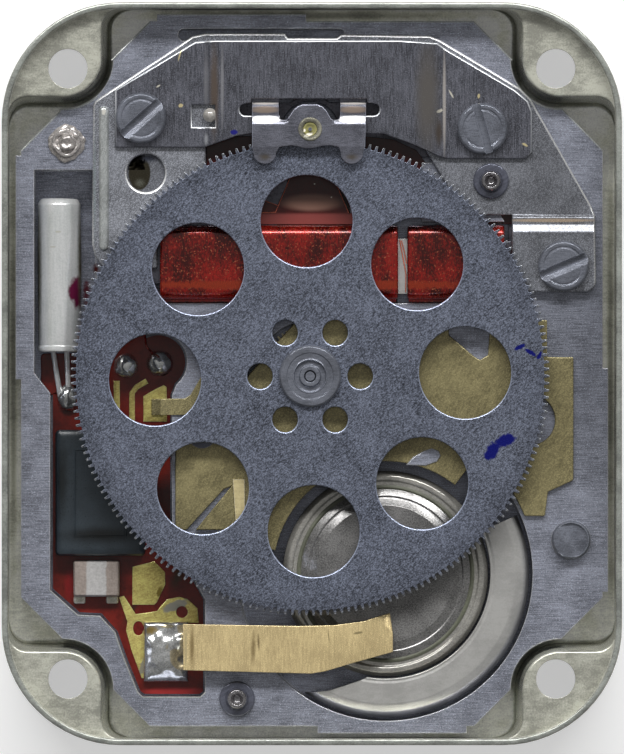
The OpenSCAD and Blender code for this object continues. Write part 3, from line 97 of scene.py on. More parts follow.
# Marks by material: x, y, turn, two half sizes and the screen colour, then raggedness and softness.
# Some marks are painted highlights and painted shade rather than stains; each is noted where it stands.
MARKS = {
    "plate_nickel": [
        (-14.2, -16.2, 30, 0.4, 0.1, WARM_FLECK), (-4.9, -18.6, 40, 0.22, 0.05, WHITE_FLECK),
        (-12.72, 4.6, 0, 0.3, 1.0, (104, 36, 52), 0.5, 0.8), (-12.2, 5.9, 0, 0.3, 0.45, (84, 24, 18), 0.5, 0.8)],
    "frame_nickel": [
        # Painted highlight: a pale beige band across the tab's fold.
        (13.5, 8.64, 0, 3.4, 0.14, (206, 186, 164), 0.0, 0.6),
        (-12.25, 10.6, 0, 0.13, 4.4, (142, 150, 154), 0.2, 0.7), (-7.25, 17.5, 76, 0.55, 0.06, WARM_FLECK)],
    "bridge_steel": [
        (-7.4, 15.1, 20, 0.16, 0.12, WARM_FLECK), (-7.43, 18.0, 75, 0.45, 0.05, WARM_FLECK),
        (-8.65, 16.2, 30, 0.14, 0.06, WHITE_FLECK), (7.85, 15.75, 120, 0.3, 0.06, WHITE_FLECK),
        (9.4, 15.65, 80, 0.16, 0.08, WARM_FLECK), (7.2, 14.8, 25, 0.22, 0.1, WHITE_FLECK),
        (12.0, 12.9, 150, 0.2, 0.08, WARM_FLECK), (-4.38, 13.6, 0, 0.24, 0.16, (44, 44, 140), 0.3),
        # Painted light and painted shade on the bridge's two bends: bright and dark upright bands at the west bend,
        # near x -6 to -5, and at the east bend, near x 6.5 to 7.5.
        (-5.95, 13.2, 0, 0.16, 0.5, (176, 178, 184), 0.1, 0.8),
        (-5.95, 16.4, 0, 0.2, 2.6, (140, 140, 146), 0.1, 0.8), (-5.5, 15.9, 0, 0.36, 3.6, (104, 92, 84), 0.1, 0.8),
        (-5.05, 16.2, 0, 0.14, 3.2, (150, 150, 155), 0.1, 0.8),
        (6.5, 15.6, 0, 0.95, 4.2, (110, 106, 103), 0.1, 0.8), (7.15, 13.6, 0, 0.34, 1.2, (88, 80, 74), 0.1, 0.9),
        (7.46, 15.3, 0, 0.13, 3.8, (186, 180, 176), 0.1, 0.7)],
    "wheel_metal": [
        (11.7, 1.5, 25, 0.4, 0.14, INK), (12.3, 1.2, 150, 0.45, 0.13, INK), (12.8, 1.0, 60, 0.3, 0.12, INK),
        (10.2, -4.3, 50, 0.6, 0.42, INK), (10.9, -3.75, 20, 0.7, 0.36, INK), (10.0, -4.6, 0, 0.4, 0.3, INK)],
    "pale_brass": [
        (-3.3, -15.4, 88, 1.2, 0.2, (166, 145, 102), 0.3, 0.9),
        (-3.0, -15.1, 92, 0.7, 0.1, (150, 130, 92), 0.4, 0.9),
        # Painted highlight and painted shade across the strip's bent-down west end.
        (-7.1, -15.4, 90, 1.6, 0.1, (214, 196, 150), 0.1, 0.6),
        (-6.75, -15.4, 90, 1.8, 0.2, (164, 142, 98), 0.1, 0.9),
        (0.95, -14.8, 95, 0.5, 0.04, (140, 124, 88), 0.3, 0.8), (2.6, -14.6, 10, 0.3, 0.08, (170, 154, 112))],
    "gold_copper": [
        (-7.7, -13.1, 20, 0.9, 0.3, (170, 168, 156), 0.5), (-8.6, -12.3, 70, 0.4, 0.16, (150, 130, 62)),
        (-9.5, -16.4, 70, 0.8, 0.2, (178, 172, 150), 0.5)],
    "crystal_metal": [
        # The dark upright bands along the can's west and east sides are painted shade on its curved flanks.
        (-13.15, 4.6, 0, 0.66, 1.05, (128, 36, 78), 0.4), (-15.45, 5.5, 0, 0.3, 6, (126, 124, 104), 0.2, 0.9),
        (-13.05, 6.5, 0, 0.24, 4.6, (120, 116, 96), 0.2, 0.9), (-14.3, 8.0, 0, 0.2, 0.07, (226, 226, 214)),
        (-14.6, 7.15, 0, 0.2, 0.05, (226, 226, 214))],
    "board": [
        (-7.6, -17.95, 0, 2.4, 0.3, (164, 44, 42), 0.1, 0.5), (-13.7, -11.9, 0, 0.4, 1.3, (134, 24, 24), 0.3, 0.8),
        (-10.2, -13.4, 60, 1.4, 0.3, (58, 30, 16), 0.3, 0.9), (-7.4, -11.2, 60, 1.6, 0.5, (66, 40, 18), 0.3, 0.9)],
    "ic_resin": [
        (-12.0, -9.1, 0, 3.2, 0.7, (12, 15, 16), 0.1, 0.9), (-14.1, -6.0, 0, 0.5, 3.0, (18, 24, 26), 0.2, 0.9)],
    "film": [
        # Painted light on the dark film: a lighter oval and a lighter band where light falls on it through the wheel.
        (0, 9.65, 0, 2.1, 0.6, (124, 92, 80), 0.0, 0.5), (0, 8.7, 0, 12, 0.44, (128, 62, 58), 0.0, 0.5),
        (0.15, 10.7, 0, 0.05, 0.05, WHITE_FLECK), (1.1, 9.95, 0, 0.05, 0.05, WHITE_FLECK),
        (-3.0, 9.4, 0, 1.0, 0.3, (66, 28, 22), 0.0, 0.5)],
    "ruby": [
        # The dark centre is painted shade in the pivot hole; the two near-white marks are painted highlights.
        (*ROTOR, 0, 0.15, 0.15, (70, 66, 24), 0.1, 0.8), (-0.2, 13.43, 20, 0.3, 0.12, (255, 250, 232), 0.4),
        (-0.42, 13.68, 70, 0.12, 0.07, (255, 250, 232), 0.4)],
    "coil_enamel": [
        # Painted light: a lighter orange band on the coil's lower part and a bright red band on its shaded south
        # side.
        (0, 5.0, 0, 12, 0.34, (158, 50, 20), 0.5, 0.4), (0, 4.26, 0, 12, 0.26, (210, 14, 8), 0.0, 0.7)],
    "solder": [
        (-9.1, -14.5, 30, 0.55, 0.32, (196, 170, 104), 0.6, 0.8),
        (-8.2, -14.25, 0, 0.5, 0.14, (200, 190, 160), 0.5)],
    "rib_nickel": [
        # Painted highlight: a near-white spot at the rib's north end.
        (-11.72, 14.75, 0, 0.14, 0.2, (245, 242, 232))],
    "window_metal": [
        # Painted shade and light in the frame's window: a dark oval for a deep hole, a lighter patch south of it and
        # dark shade under its north edge.
        (-9.72, 11.3, 0, 0.66, 1.0, (52, 48, 36), 0.0, 0.12), (-9.7, 10.75, 0, 0.4, 0.34, (96, 96, 86), 0.1, 0.9),
        (-9.2, 12.15, 0, 0.9, 0.34, (58, 62, 74), 0.1, 0.9)],
}
# The setting cup takes the jewel's painted shade and highlights.
MARKS["cup_metal"] = MARKS["ruby"]
# Painted highlights across the clip arms' bends and painted shade on the ears, which slope away from the light.
MARKS["spring_steel"] = [(x, y, 0, 1.1, high, stain_and_light, 0.1, soft) for x in (-2.62, 2.34)
                         for y, high, stain_and_light, soft in ((14.86, 0.26, (176, 158, 144), 0.6),
                                                      (14.32, 0.26, (250, 250, 250), 0.5),
                                                      (15.22, 0.08, (238, 232, 226), 0.6))]
MARKS["spring_steel"] += [(x, 12.2, 0, 0.5, 0.3, (96, 90, 84), 0.2, 0.9) for x in (-2.65, 2.25)]

# Wide washes by material: x, y, turn, two half sizes and what the colour is multiplied by.
WASHES = {
    # Tray washes: painted shade in the gaps inside the east, west and north walls.
    "tray_metal": [(16.88, 0, 0, 0.34, 17, 0.3), (-16.88, 0, 0, 0.34, 17, 0.3), (0, 20.25, 0, 14, 0.4, 0.3)],
    "plate_nickel": [(16, 2, 0, 5, 14, 0.68), (-9, 17, 30, 4, 2.5, 0.82)],
    "frame_nickel": [(14, 11, 0, 6, 9, 0.72), (-9, 10, 0, 4, 6, 1.5)],
    "crystal_metal": [(-14.25, 6, 0, 3, 9, 0.88)],
    "coil_enamel": [(0, 6.7, 0, 12, 1.2, 0.8)],
}


class Tree:
    """A node tree, with short calls for its nodes."""

    def __init__(self, tree):
        self.tree = tree
        tree.nodes.clear()

    def node(self, kind, attrs=None, **sockets):
        made = self.tree.nodes.new("ShaderNode" + kind)
        for key, value in (attrs or {}).items():
            setattr(made, key, value)
        for key, value in sockets.items():
            self.put(made.inputs[key.replace("_", " ")], value)
        return made

    def put(self, socket, value):
        if isinstance(value, bpy.types.NodeSocket):
            self.tree.links.new(value, socket)
        elif isinstance(value, tuple):
            socket.default_value = (*value[:3], 1)
        else:
            socket.default_value = value

    def math(self, what, a, b=0.0):
        made = self.node("Math", {"operation": what})
        self.put(made.inputs[0], a)
        self.put(made.inputs[1], b)
        return made.outputs[0]

    def weighed(self, *pairs):
        """The sum of some values, each times its own weight."""
        total = None
        for value, weight in pairs:
            part = self.math("MULTIPLY", value, weight)
            total = part if total is None else self.math("ADD", total, part)
        return total

    def ramp(self, value, low, high, to_low=0.0, to_high=1.0, kind="SMOOTHSTEP"):
        made = self.node("MapRange", {"interpolation_type": kind, "clamp": True}, Value=value,
                         From_Min=low, From_Max=high, To_Min=to_low, To_Max=to_high)
        return made.outputs[0]

    def mix(self, factor, a, b, blend="MIX"):
        made = self.node("Mix", {"data_type": "RGBA", "blend_type": blend})
        for socket, value in ((0, factor), (6, a), (7, b)):
            self.put(made.inputs[socket], value)
        return made.outputs[2]

    def height(self, of):
        return self.node("SeparateXYZ", Vector=of).outputs["Z"]


class Net(Tree):
    """A material's node tree, with the shader and the coordinates that the finishes use."""

    def __init__(self, name):
        self.name = name
        self.mat = bpy.data.materials.new(name)
        self.mat.use_nodes = True
        super().__init__(self.mat.node_tree)
        self.shader = self.node("BsdfPrincipled")
        out = self.node("OutputMaterial")
        self.tree.links.new(self.shader.outputs[0], out.inputs[0])
        self.place = self.node("TexCoord").outputs["Object"]

    def at(self, size, turn=0.0, start=(0, 0, 0)):
        """Coordinates in which one unit is a feature of the given size in millimetres."""
        if isinstance(size, (int, float)):
            size = (size, size, size)
        made = self.node("Mapping", {"vector_type": "TEXTURE"}, Vector=self.place)
        made.inputs["Location"].default_value = [v * MM for v in start]
        made.inputs["Rotation"].default_value = (0, 0, math.radians(turn))
        made.inputs["Scale"].default_value = [v * MM for v in size]
        return made.outputs[0]

    def noise(self, size, turn=0.0, detail=3.0, rough=0.55, start=(0, 0, 0)):
        return self.node("TexNoise", Vector=self.at(size, turn, start), Scale=1.0, Detail=detail,
                         Roughness=rough).outputs[0]

    def away(self, x, y, half_x=1, half_y=1, turn=0):
        """How far a point of the surface lies from a spot, seen from above and in half sizes."""
        place = self.at((half_x, half_y, 100), turn, (x, y, 0))
        return self.node("VectorMath", {"operation": "LENGTH"}, Vector=place).outputs["Value"]

    def dab(self, x, y, turn, half_x, half_y, wobble=0.5, soft=0.35):
        """1 inside a ragged oval on the surface seen from above, 0 outside."""
        length = self.away(x, y, half_x, half_y, turn)
        if wobble:
            ragged = self.math("SUBTRACT", self.noise(min(half_x, half_y) * 0.8), 0.5)
            length = self.math("ADD", length, self.math("MULTIPLY", ragged, wobble * 2))
        return self.ramp(length, 1.0, 1.0 - soft)

    def stained_and_lit(self, shown):
        """Adds the material's marks, which are real stains, ink and flecks and also painted highlights and shade, and
        its washes that lighten or darken.
        """
        for x, y, turn, half_x, half_y, stain_and_light, *shape in MARKS.get(self.name, ()):
            shown = self.mix(self.dab(x, y, turn, half_x, half_y, *shape), shown, linear(*stain_and_light))
        for x, y, turn, half_x, half_y, by in WASHES.get(self.name, ()):
            shown = self.mix(self.dab(x, y, turn, half_x, half_y, 0, 0.9), shown, (by, by, by), "MULTIPLY")
        return shown

    def bevel(self, width):
        return self.node("Bevel", {"samples": 4}, Radius=width * MM).outputs[0]

    def edge(self, width):
        """Near 0 on flat faces and rising to 1 at outer and inner edges."""
        dot = self.node("VectorMath", {"operation": "DOT_PRODUCT"})
        self.put(dot.inputs[0], self.bevel(width))
        self.put(dot.inputs[1], self.node("NewGeometry").outputs["Normal"])
        return self.ramp(dot.outputs["Value"], 0.995, 0.80)

    def bump(self, height, depth, under=None):
        made = self.node("Bump", Height=height, Distance=depth * MM, Strength=1.0)
        if under is not None:
            self.put(made.inputs["Normal"], under)
        return made.outputs[0]

    def finish(self, color, rough, metallic=1.0, normal=None, **fixed):
        fixed.update(Base_Color=color, Roughness=rough, Metallic=metallic)
        if normal is not None:
            fixed["Normal"] = normal
        for key, value in fixed.items():
            self.put(self.shader.inputs[key.replace("_", " ")], value)
        return self.mat


# Metals mirror the dim studio overhead, so their own colours are lighter than they look in it.
METAL_GAIN = 1.3
METAL_POLISH = 0.6


def metal(name, color, rough, grain, grain_amount, speck, speck_amount, spread=1.6, edge=0.05, edge_gain=3.2,
          flecks=0.0, fleck_turn=40.0, fleck_size=(0.32, 0.05), metalness=0.5, levels=(), rounding=0.0, rims=()):
    """Worn sheet or turned metal: fine grain, speckle, slow clouds, bright edges that are partly rubbed wear and
    partly painted highlight, and a light bump.

    An edge of 0 takes the painted edge highlight from the mesh, brightest on north-facing edges. Rims tint by
    distance from a spot, from one radius to another. Levels tint level faces by height."""
    net = Net(name)
    color = scaled(color, METAL_GAIN)
    lines = net.noise((grain[0], grain[1], grain[1]), grain[2], 4.0, 0.6)
    specks = net.noise(speck, 0, 3.0, 0.7)
    clouds = net.noise(1.5, 0, 3.0, 0.5)
    tone = net.weighed((lines, grain_amount), (specks, speck_amount), (clouds, 1 - grain_amount - speck_amount))
    shade = net.ramp(tone, 0.42, 0.58, kind="LINEAR")
    shown = net.mix(shade, scaled(color, 1 / spread), scaled(color, spread))
    if flecks:
        strokes = net.noise((fleck_size[0], fleck_size[1], fleck_size[1]), fleck_turn, 3.0, 0.65, start=(3, 5, 0))
        fleck = net.ramp(strokes, 0.54, 0.67)
        shown = net.mix(net.math("MULTIPLY", fleck, flecks), shown, scaled(color, 2.6))
    # Edges are lightened up to edge_gain times: partly rubbed wear, partly painted highlight. With an edge of 0 the
    # mesh's rim values are used, a painted highlight brightest on north-facing edges.
    edge_wear_and_highlight = net.math("MULTIPLY", net.edge(edge), 0.8) if edge else net.node(
        "Attribute", {"attribute_name": "rim"}).outputs["Fac"]
    shown = net.mix(edge_wear_and_highlight, shown, scaled(color, edge_gain))
    for x, y, low, high, by in rims:
        shown = net.mix(net.ramp(net.away(x, y), low, high), shown, by, "MULTIPLY")
    shown = net.stained_and_lit(shown)
    for low, high, by in levels:
        upward = net.height(net.node("NewGeometry").outputs["Normal"])
        share = net.math("MULTIPLY", net.ramp(net.height(net.place), low * MM, high * MM), net.ramp(upward, 0.4, 0.8))
        shown = net.mix(share, shown, by, "MULTIPLY")
    rough *= METAL_POLISH
    roughness = net.ramp(specks, 0.3, 0.7, rough * 0.8, min(1.0, rough * 1.25), "LINEAR")
    return net.finish(shown, roughness, metalness, net.bump(tone, 0.006, net.bevel(rounding) if rounding else None))


def resin(name, color, rough, grain=0.15, depth=0.003):
    """Plastic, varnish or stone: fine and slow tones, edges a little rubbed."""
    net = Net(name)
    fine = net.noise(grain, 0, 4.0, 0.65)
    slow = net.noise(1.3, 0, 2.0, 0.5)
    shade = net.ramp(net.weighed((fine, 0.5), (slow, 0.5)), 0.36, 0.64, kind="LINEAR")
    shown = net.mix(shade, scaled(color, 1 / 1.4), scaled(color, 1.4))
    shown = net.stained_and_lit(net.mix(net.math("MULTIPLY", net.edge(0.05), 0.35), shown, scaled(color, 2.5)))
    roughness = net.ramp(fine, 0.3, 0.7, rough * 0.8, min(1.0, rough * 1.3), "LINEAR")
    return net.finish(shown, roughness, 0.0, net.bump(fine, depth), Specular_IOR_Level=0.5)


def enamel(name, color):
    """Fine red wire enamel over copper: metallic under a thin clear coat."""
    net = Net(name)
    fine = net.noise((0.1, 0.2, 0.2), 0, 3.0, 0.65)
    slow = net.noise((0.9, 2.5, 2.5), 0, 2.0, 0.5)
    shade = net.ramp(net.weighed((fine, 0.45), (slow, 0.55)), 0.40, 0.60, kind="LINEAR")
    shown = net.mix(shade, scaled(color, 0.3), scaled(color, 1.9))
    dust = net.ramp(net.noise(0.1, 0, 2.0, 0.5, start=(7, 1, 2)), 0.62, 0.70)
    shown = net.stained_and_lit(net.mix(dust, shown, linear(200, 110, 76)))
    roughness = net.ramp(fine, 0.3, 0.7, 0.2, 0.34, "LINEAR")
    return net.finish(shown, roughness, 0.6, net.bump(fine, 0.003), Coat_Weight=0.7, Coat_Roughness=0.1, Coat_IOR=1.5)


CAPACITOR_X = -12.17


def ceramic(name, color):
    """The capacitor: a smooth pale middle between two greyer end caps."""
    net = Net(name)
    split = net.node("SeparateXYZ", Vector=net.place)
    away = net.math("ABSOLUTE", net.math("SUBTRACT", split.outputs["X"], CAPACITOR_X * MM))
    grain = net.noise(0.12, 0, 4.0, 0.7)
    wobble = net.math("MULTIPLY", net.math("SUBTRACT", net.noise(0.5), 0.5), 0.2 * MM)
    middle = net.ramp(net.math("ADD", away, wobble), 0.62 * MM, 0.5 * MM)
    shade = net.ramp(grain, 0.35, 0.65, kind="LINEAR")
    cap = net.mix(shade, scaled(color, 0.8), scaled(color, 1.15))
    pale = net.mix(shade, linear(176, 174, 172), linear(200, 198, 196))
    return net.finish(net.mix(middle, cap, pale), net.ramp(grain, 0.3, 0.7, 0.28, 0.5, "LINEAR"), 0.2,
                      net.bump(grain, 0.004))


# Metals: screen colour, roughness, grain length, width and turn, its amount, speck size and amount, the rest.
METALS = {
    # Tray levels: the rim's top is darkened and cooled, and the deep ledge's level faces are lightened 2.1 times,
    # painted light where the ledge lies in shade.
    "tray_metal": ((176, 176, 164), 0.36, (0.5, 0.2, 0), 0.25, 0.1, 0.35,
        dict(spread=1.4, levels=[(7.3, 7.5, (0.68, 0.71, 0.76)), (2.6, 2.2, (2.1, 2.1, 2.0))])),
    "plate_nickel": ((126, 129, 140), 0.38, (1.2, 0.05, 0), 0.4, 0.06, 0.4,
        dict(spread=1.75, edge=0.12, edge_gain=6, rounding=0.1)),
    "frame_nickel": ((114, 116, 122), 0.42, (0.3, 0.1, 70), 0.3, 0.06, 0.5, dict(spread=1.75, edge=0, edge_gain=6)),
    "bridge_steel": ((80, 81, 88), 0.38, (0.7, 0.045, 90), 0.4, 0.06, 0.45, dict(spread=2.0, edge=0, edge_gain=9)),
    "spring_steel": ((96, 97, 106), 0.36, (0.5, 0.06, 0), 0.3, 0.06, 0.45, dict(spread=1.6, edge=0, edge_gain=4)),
    # The wheel's tooth tips are lightened and warmed: partly worn plating, partly a painted glint.
    "wheel_metal": ((76, 80, 91), 0.42, (0.25, 0.06, 40), 0.4, 0.08, 0.5,
        dict(spread=3.0, flecks=1.0, fleck_size=(0.3, 0.05), edge=0, edge_gain=6,
        rims=[(*WHEEL, 12.0, 13.1, (0.8, 0.8, 0.8)), (*WHEEL, 13.25, 13.45, (1.5, 1.4, 1.15))])),
    "turned_steel": ((104, 107, 116), 0.3, (0.5, 0.07, 0), 0.3, 0.06, 0.4, dict(spread=1.5)),
    "dark_steel": ((84, 86, 97), 0.3, (1.0, 0.1, 30), 0.3, 0.08, 0.3, dict(spread=1.4)),
    "soft_iron": ((88, 88, 96), 0.5, (1.0, 0.2, 0), 0.2, 0.15, 0.4, dict(spread=1.4)),
    "magnet": ((70, 70, 74), 0.5, (1.0, 0.2, 0), 0.2, 0.15, 0.4, dict()),
    "brass": ((204, 188, 142), 0.32, (1.5, 0.1, 0), 0.3, 0.1, 0.3, dict(spread=1.3)),
    "pale_brass": ((210, 188, 140), 0.4, (0.7, 0.07, 90), 0.5, 0.07, 0.3, dict(spread=1.22)),
    "olive_brass": ((124, 116, 84), 0.42, (0.6, 0.08, 60), 0.3, 0.08, 0.4,
        dict(spread=1.5, flecks=0.35, fleck_turn=25, fleck_size=(0.6, 0.03))),
    "gold_copper": ((206, 184, 110), 0.34, (0.3, 0.1, 20), 0.3, 0.08, 0.4, dict(spread=1.45)),
    "crystal_metal": ((222, 226, 224), 0.3, (0.12, 2.0, 0), 0.3, 0.1, 0.4, dict(spread=1.2, edge=0.1)),
    "tin": ((176, 174, 160), 0.28, (0.4, 0.2, 30), 0.3, 0.1, 0.4, dict(spread=1.4)),
    "cell_steel": ((150, 148, 142), 0.22, (0.5, 0.1, 0), 0.2, 0.08, 0.5, dict(spread=1.3)),
    "solder": ((176, 177, 176), 0.26, (0.4, 0.2, 30), 0.2, 0.1, 0.4, dict(spread=1.4, edge=0, metalness=0.85)),
    "cap_steel": ((104, 103, 102), 0.36, (0.1, 0.1, 0), 0.3, 0.06, 0.45, dict(spread=1.9, edge=0)),
    "bright_steel": ((190, 186, 180), 0.22, (0.4, 0.1, 0), 0.3, 0.08, 0.3, dict(spread=1.3, edge=0)),
    "rib_nickel": ((160, 163, 162), 0.34, (0.3, 0.1, 70), 0.3, 0.06, 0.5, dict(spread=1.4, edge=0)),
    "stud_nickel": ((156, 151, 148), 0.28, (0.2, 0.1, 30), 0.3, 0.08, 0.4, dict(spread=1.7, edge=0.07)),
    "post_steel": ((124, 122, 124), 0.2, (0.2, 0.1, 30), 0.3, 0.08, 0.4, dict(spread=1.6, edge=0.06, metalness=0.85)),
    "cup_metal": ((140, 138, 124), 0.22, (0.2, 0.1, 0), 0.3, 0.06, 0.4, dict(spread=1.5, edge=0.04)),
    "window_metal": ((104, 106, 112), 0.42, (0.3, 0.12, 70), 0.3, 0.08, 0.5, dict(spread=1.4, edge=0)),
    "strap_steel": ((172, 171, 168), 0.33, (0.6, 0.2, 0), 0.2, 0.1, 0.3, dict(spread=1.12, edge=0)),
}

# Resins: screen colour, roughness, grain size, the rest.
RESINS = {
    "board": ((104, 24, 14), 0.2, 0.2, dict(depth=0.006)),
    "ic_resin": ((46, 54, 60), 0.32, 0.08, dict()),
    "gasket": ((90, 92, 78), 0.45, 0.1, dict()),
    "film": ((60, 10, 8), 0.2, 0.3, dict()),
    "film_edge": ((172, 92, 70), 0.3, dict()),
    "ruby": ((150, 146, 96), 0.12, 0.2, dict()),
}
MATERIALS = {name: metal(name, linear(*rgb), *numbers, **rest) for name, (rgb, *numbers, rest) in METALS.items()}
for name, (rgb, *numbers, rest) in RESINS.items():
    MATERIALS[name] = resin(name, linear(*rgb), *numbers, **rest)
MATERIALS["capacitor_ceramic"] = ceramic("capacitor_ceramic", linear(160, 148, 140))
MATERIALS["coil_enamel"] = enamel("coil_enamel", linear(122, 18, 10))

for part in frame["record"]["subparts"]:
    holder = nodes[part["node"]]
    for place in range(len(holder.material_slots)):
        holder.material_slots[place].material = MATERIALS[part["material_slot"]]

# Width of the rounded edges of the CAD nodes that stay as they are, made by modifiers alone.
ROUNDED_NODES = {"train_bridge": 0.07, "contact_finger": 0.04, "stator": 0.05, "coil_core": 0.05}
for name, width in ROUNDED_NODES.items():
    holder = nodes[name]
    weld = holder.modifiers.new("weld", "WELD")
    weld.merge_threshold = 1e-6
    even = holder.modifiers.new("flat", "DECIMATE")
    even.decimate_type = "DISSOLVE"
    even.angle_limit = math.radians(0.4)
    bevel = holder.modifiers.new("bevel", "BEVEL")
    bevel.width, bevel.segments = width * MM, 2
    bevel.limit_method, bevel.angle_limit = "ANGLE", math.radians(30)
    bevel.use_clamp_overlap, bevel.harden_normals = False, True


# Mesh helpers. All of them take millimetres.


def put(points, bm):
    return [bm.verts.new(Vector(p) * MM) for p in points]


def loft(bm, rings, wrap=True, capped=False):
    """Skins a list of point rings of equal length, and closes both ends if asked."""
    rows = [put(ring, bm) for ring in rings]
    for a, b in zip(rows, rows[1:]):
        for i in range(len(a) if wrap else len(a) - 1):
            j = (i + 1) % len(a)
            bm.faces.new((a[i], a[j], b[j], b[i]))
    if capped:
        bm.faces.new(rows[0])
        bm.faces.new(rows[-1])
    return rows


def rounded(points, r, steps=4):
    """An open polyline with its corners rounded; a third value in a point is its own radius."""
    out = [tuple(points[0][:2])]
    for before, here, after in zip(points, points[1:], points[2:]):
        radius = here[2] if len(here) > 2 else r
        a, b, c = (Vector(p[:2]) for p in (before, here, after))
        u, v = a - b, c - b
        half = u.angle(v) / 2
        if radius <= 0 or half > 1.5:
            out.append(tuple(b))
            continue
        reach = min(radius / math.tan(half), u.length / 2, v.length / 2)
        start, end = b + u.normalized() * reach, b + v.normalized() * reach
        for k in range(steps + 1):
            t = k / steps
            out.append(tuple((1 - t) ** 2 * start + 2 * t * (1 - t) * b + t * t * end))
    out.append(tuple(points[-1][:2]))
    return out


def arc(cx, cy, r, a0, a1, steps):
    return [(cx + r * math.cos(math.radians(a0 + (a1 - a0) * k / steps)),
             cy + r * math.sin(math.radians(a0 + (a1 - a0) * k / steps))) for k in range(steps + 1)]


def spot(x, y, r, steps=40):
    return arc(x, y, r, 0, 360 - 360 / steps, steps - 1)


def circle(centre, r, z, steps=64, lobes=0, depth=0.0):
    ring = []
    for k in range(steps):
        a = 2 * math.pi * k / steps
        d = r * (1 + depth * math.cos(lobes * a))
        ring.append((centre[0] + d * math.cos(a), centre[1] + d * math.sin(a), z))
    return ring


def lathe(bm, profile, centre, steps=72, lobes=0, depth=0.0):
    """Turns a profile of radius and height round a vertical axis."""
    loft(bm, [circle(centre, r, z, steps, lobes, depth) for r, z in profile])


def flat(bm, loops):
    """Fills the area between closed loops of points."""
    edges = []
    for loop in loops:
        verts = put(loop, bm)
        edges += [bm.edges.new((a, b)) for a, b in zip(verts, verts[1:] + verts[:1])]
    bmesh.ops.triangle_fill(bm, use_beauty=True, edges=edges)


def show(name, mesh, finish, body="frame", node=None, slot=None, angle=32):
    """Adds a finished mesh to the scene as a piece that rides on a body and may replace a CAD node."""
    for face in mesh.polygons:
        face.use_smooth = True
    mesh.set_sharp_from_angle(angle=math.radians(angle))
    mesh.materials.clear()
    mesh.materials.append(MATERIALS[finish])
    piece = bpy.data.objects.new(name, mesh)
    bpy.context.collection.objects.link(piece)
    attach(piece, body)
    if node:
        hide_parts(node)
    return piece


def build(name, bm, finish, weld=1e-4, **rest):
    bmesh.ops.remove_doubles(bm, verts=bm.verts, dist=weld * MM)
    bmesh.ops.dissolve_degenerate(bm, edges=bm.edges, dist=1e-8)
    bmesh.ops.recalc_face_normals(bm, faces=bm.faces)
    mesh = bpy.data.meshes.new(name)
    bm.to_mesh(mesh)
    bm.free()
    return show(name, mesh, finish, **rest)


def steps_between(a, b, step):
    count = max(1, round(abs(b - a) / step))
    return [a + (b - a) * k / count for k in range(count + 1)]


def line_height(points, r):
    """Height as a function of one coordinate, along a profile line with rounded bends."""
    line = rounded(points, r, 8)

    def height(x):
        for (x0, z0), (x1, z1) in zip(line, line[1:]):
            if x0 <= x <= x1:
                return z0 + (z1 - z0) * (x - x0) / max(x1 - x0, 1e-9)
        return line[0][1] if x < line[0][0] else line[-1][1]

    return height


def inset_loop(loop, by):
    """A closed outline moved to its left by a distance."""
    moved = []
    for k, here in enumerate(loop):
        before, after = Vector(loop[k - 1]), Vector(loop[(k + 1) % len(loop)])
        u, v = (Vector(here) - before).normalized(), (after - Vector(here)).normalized()
        left = Vector((-u.y - v.y, u.x + v.x))
        left = left.normalized() if left.length > 1e-6 else Vector((-u.y, u.x))
        reach = by / max(0.35, left.dot(Vector((-u.y, u.x))))
        moved.append((here[0] + left.x * reach, here[1] + left.y * reach))
    return moved


def facing(loop, hole):
    area = sum(a[0] * b[1] - b[0] * a[1] for a, b in zip(loop, loop[1:] + loop[:1]))
    return loop if (area > 0) != hole else loop[::-1]


RIM = ((0, 1), (0.08, 0.6), (0.3, 0.27), (0.62, 0.06), (1, 0))


# How much painted highlight an edge gets on average, and how much it swings from north-facing to south-facing edges.
EDGE_LIGHT_MEAN, EDGE_LIGHT_SWING = 0.45, 0.75


def lit_rim(loop):
    """Painted highlight on an edge: brightest where the edge faces north, none where it faces south."""
    out = []
    for k, here in enumerate(loop):
        ahead = (Vector(loop[(k + 1) % len(loop)]) - Vector(loop[k - 1])).normalized()
        out.append(max(0.0, min(1.0, EDGE_LIGHT_MEAN - EDGE_LIGHT_SWING * ahead.x)))
    return out


LEVEL = 0.99999


def crease_level(mesh):
    """Marks the border of every level area as sharp, so that the area shades as one plane."""
    sides = {}
    for face in mesh.polygons:
        for key in face.edge_keys:
            sides.setdefault(key, set()).add(abs(face.normal.z) > LEVEL)
    for line in mesh.edges:
        if len(sides.get(line.key, ())) == 2:
            line.use_edge_sharp = True


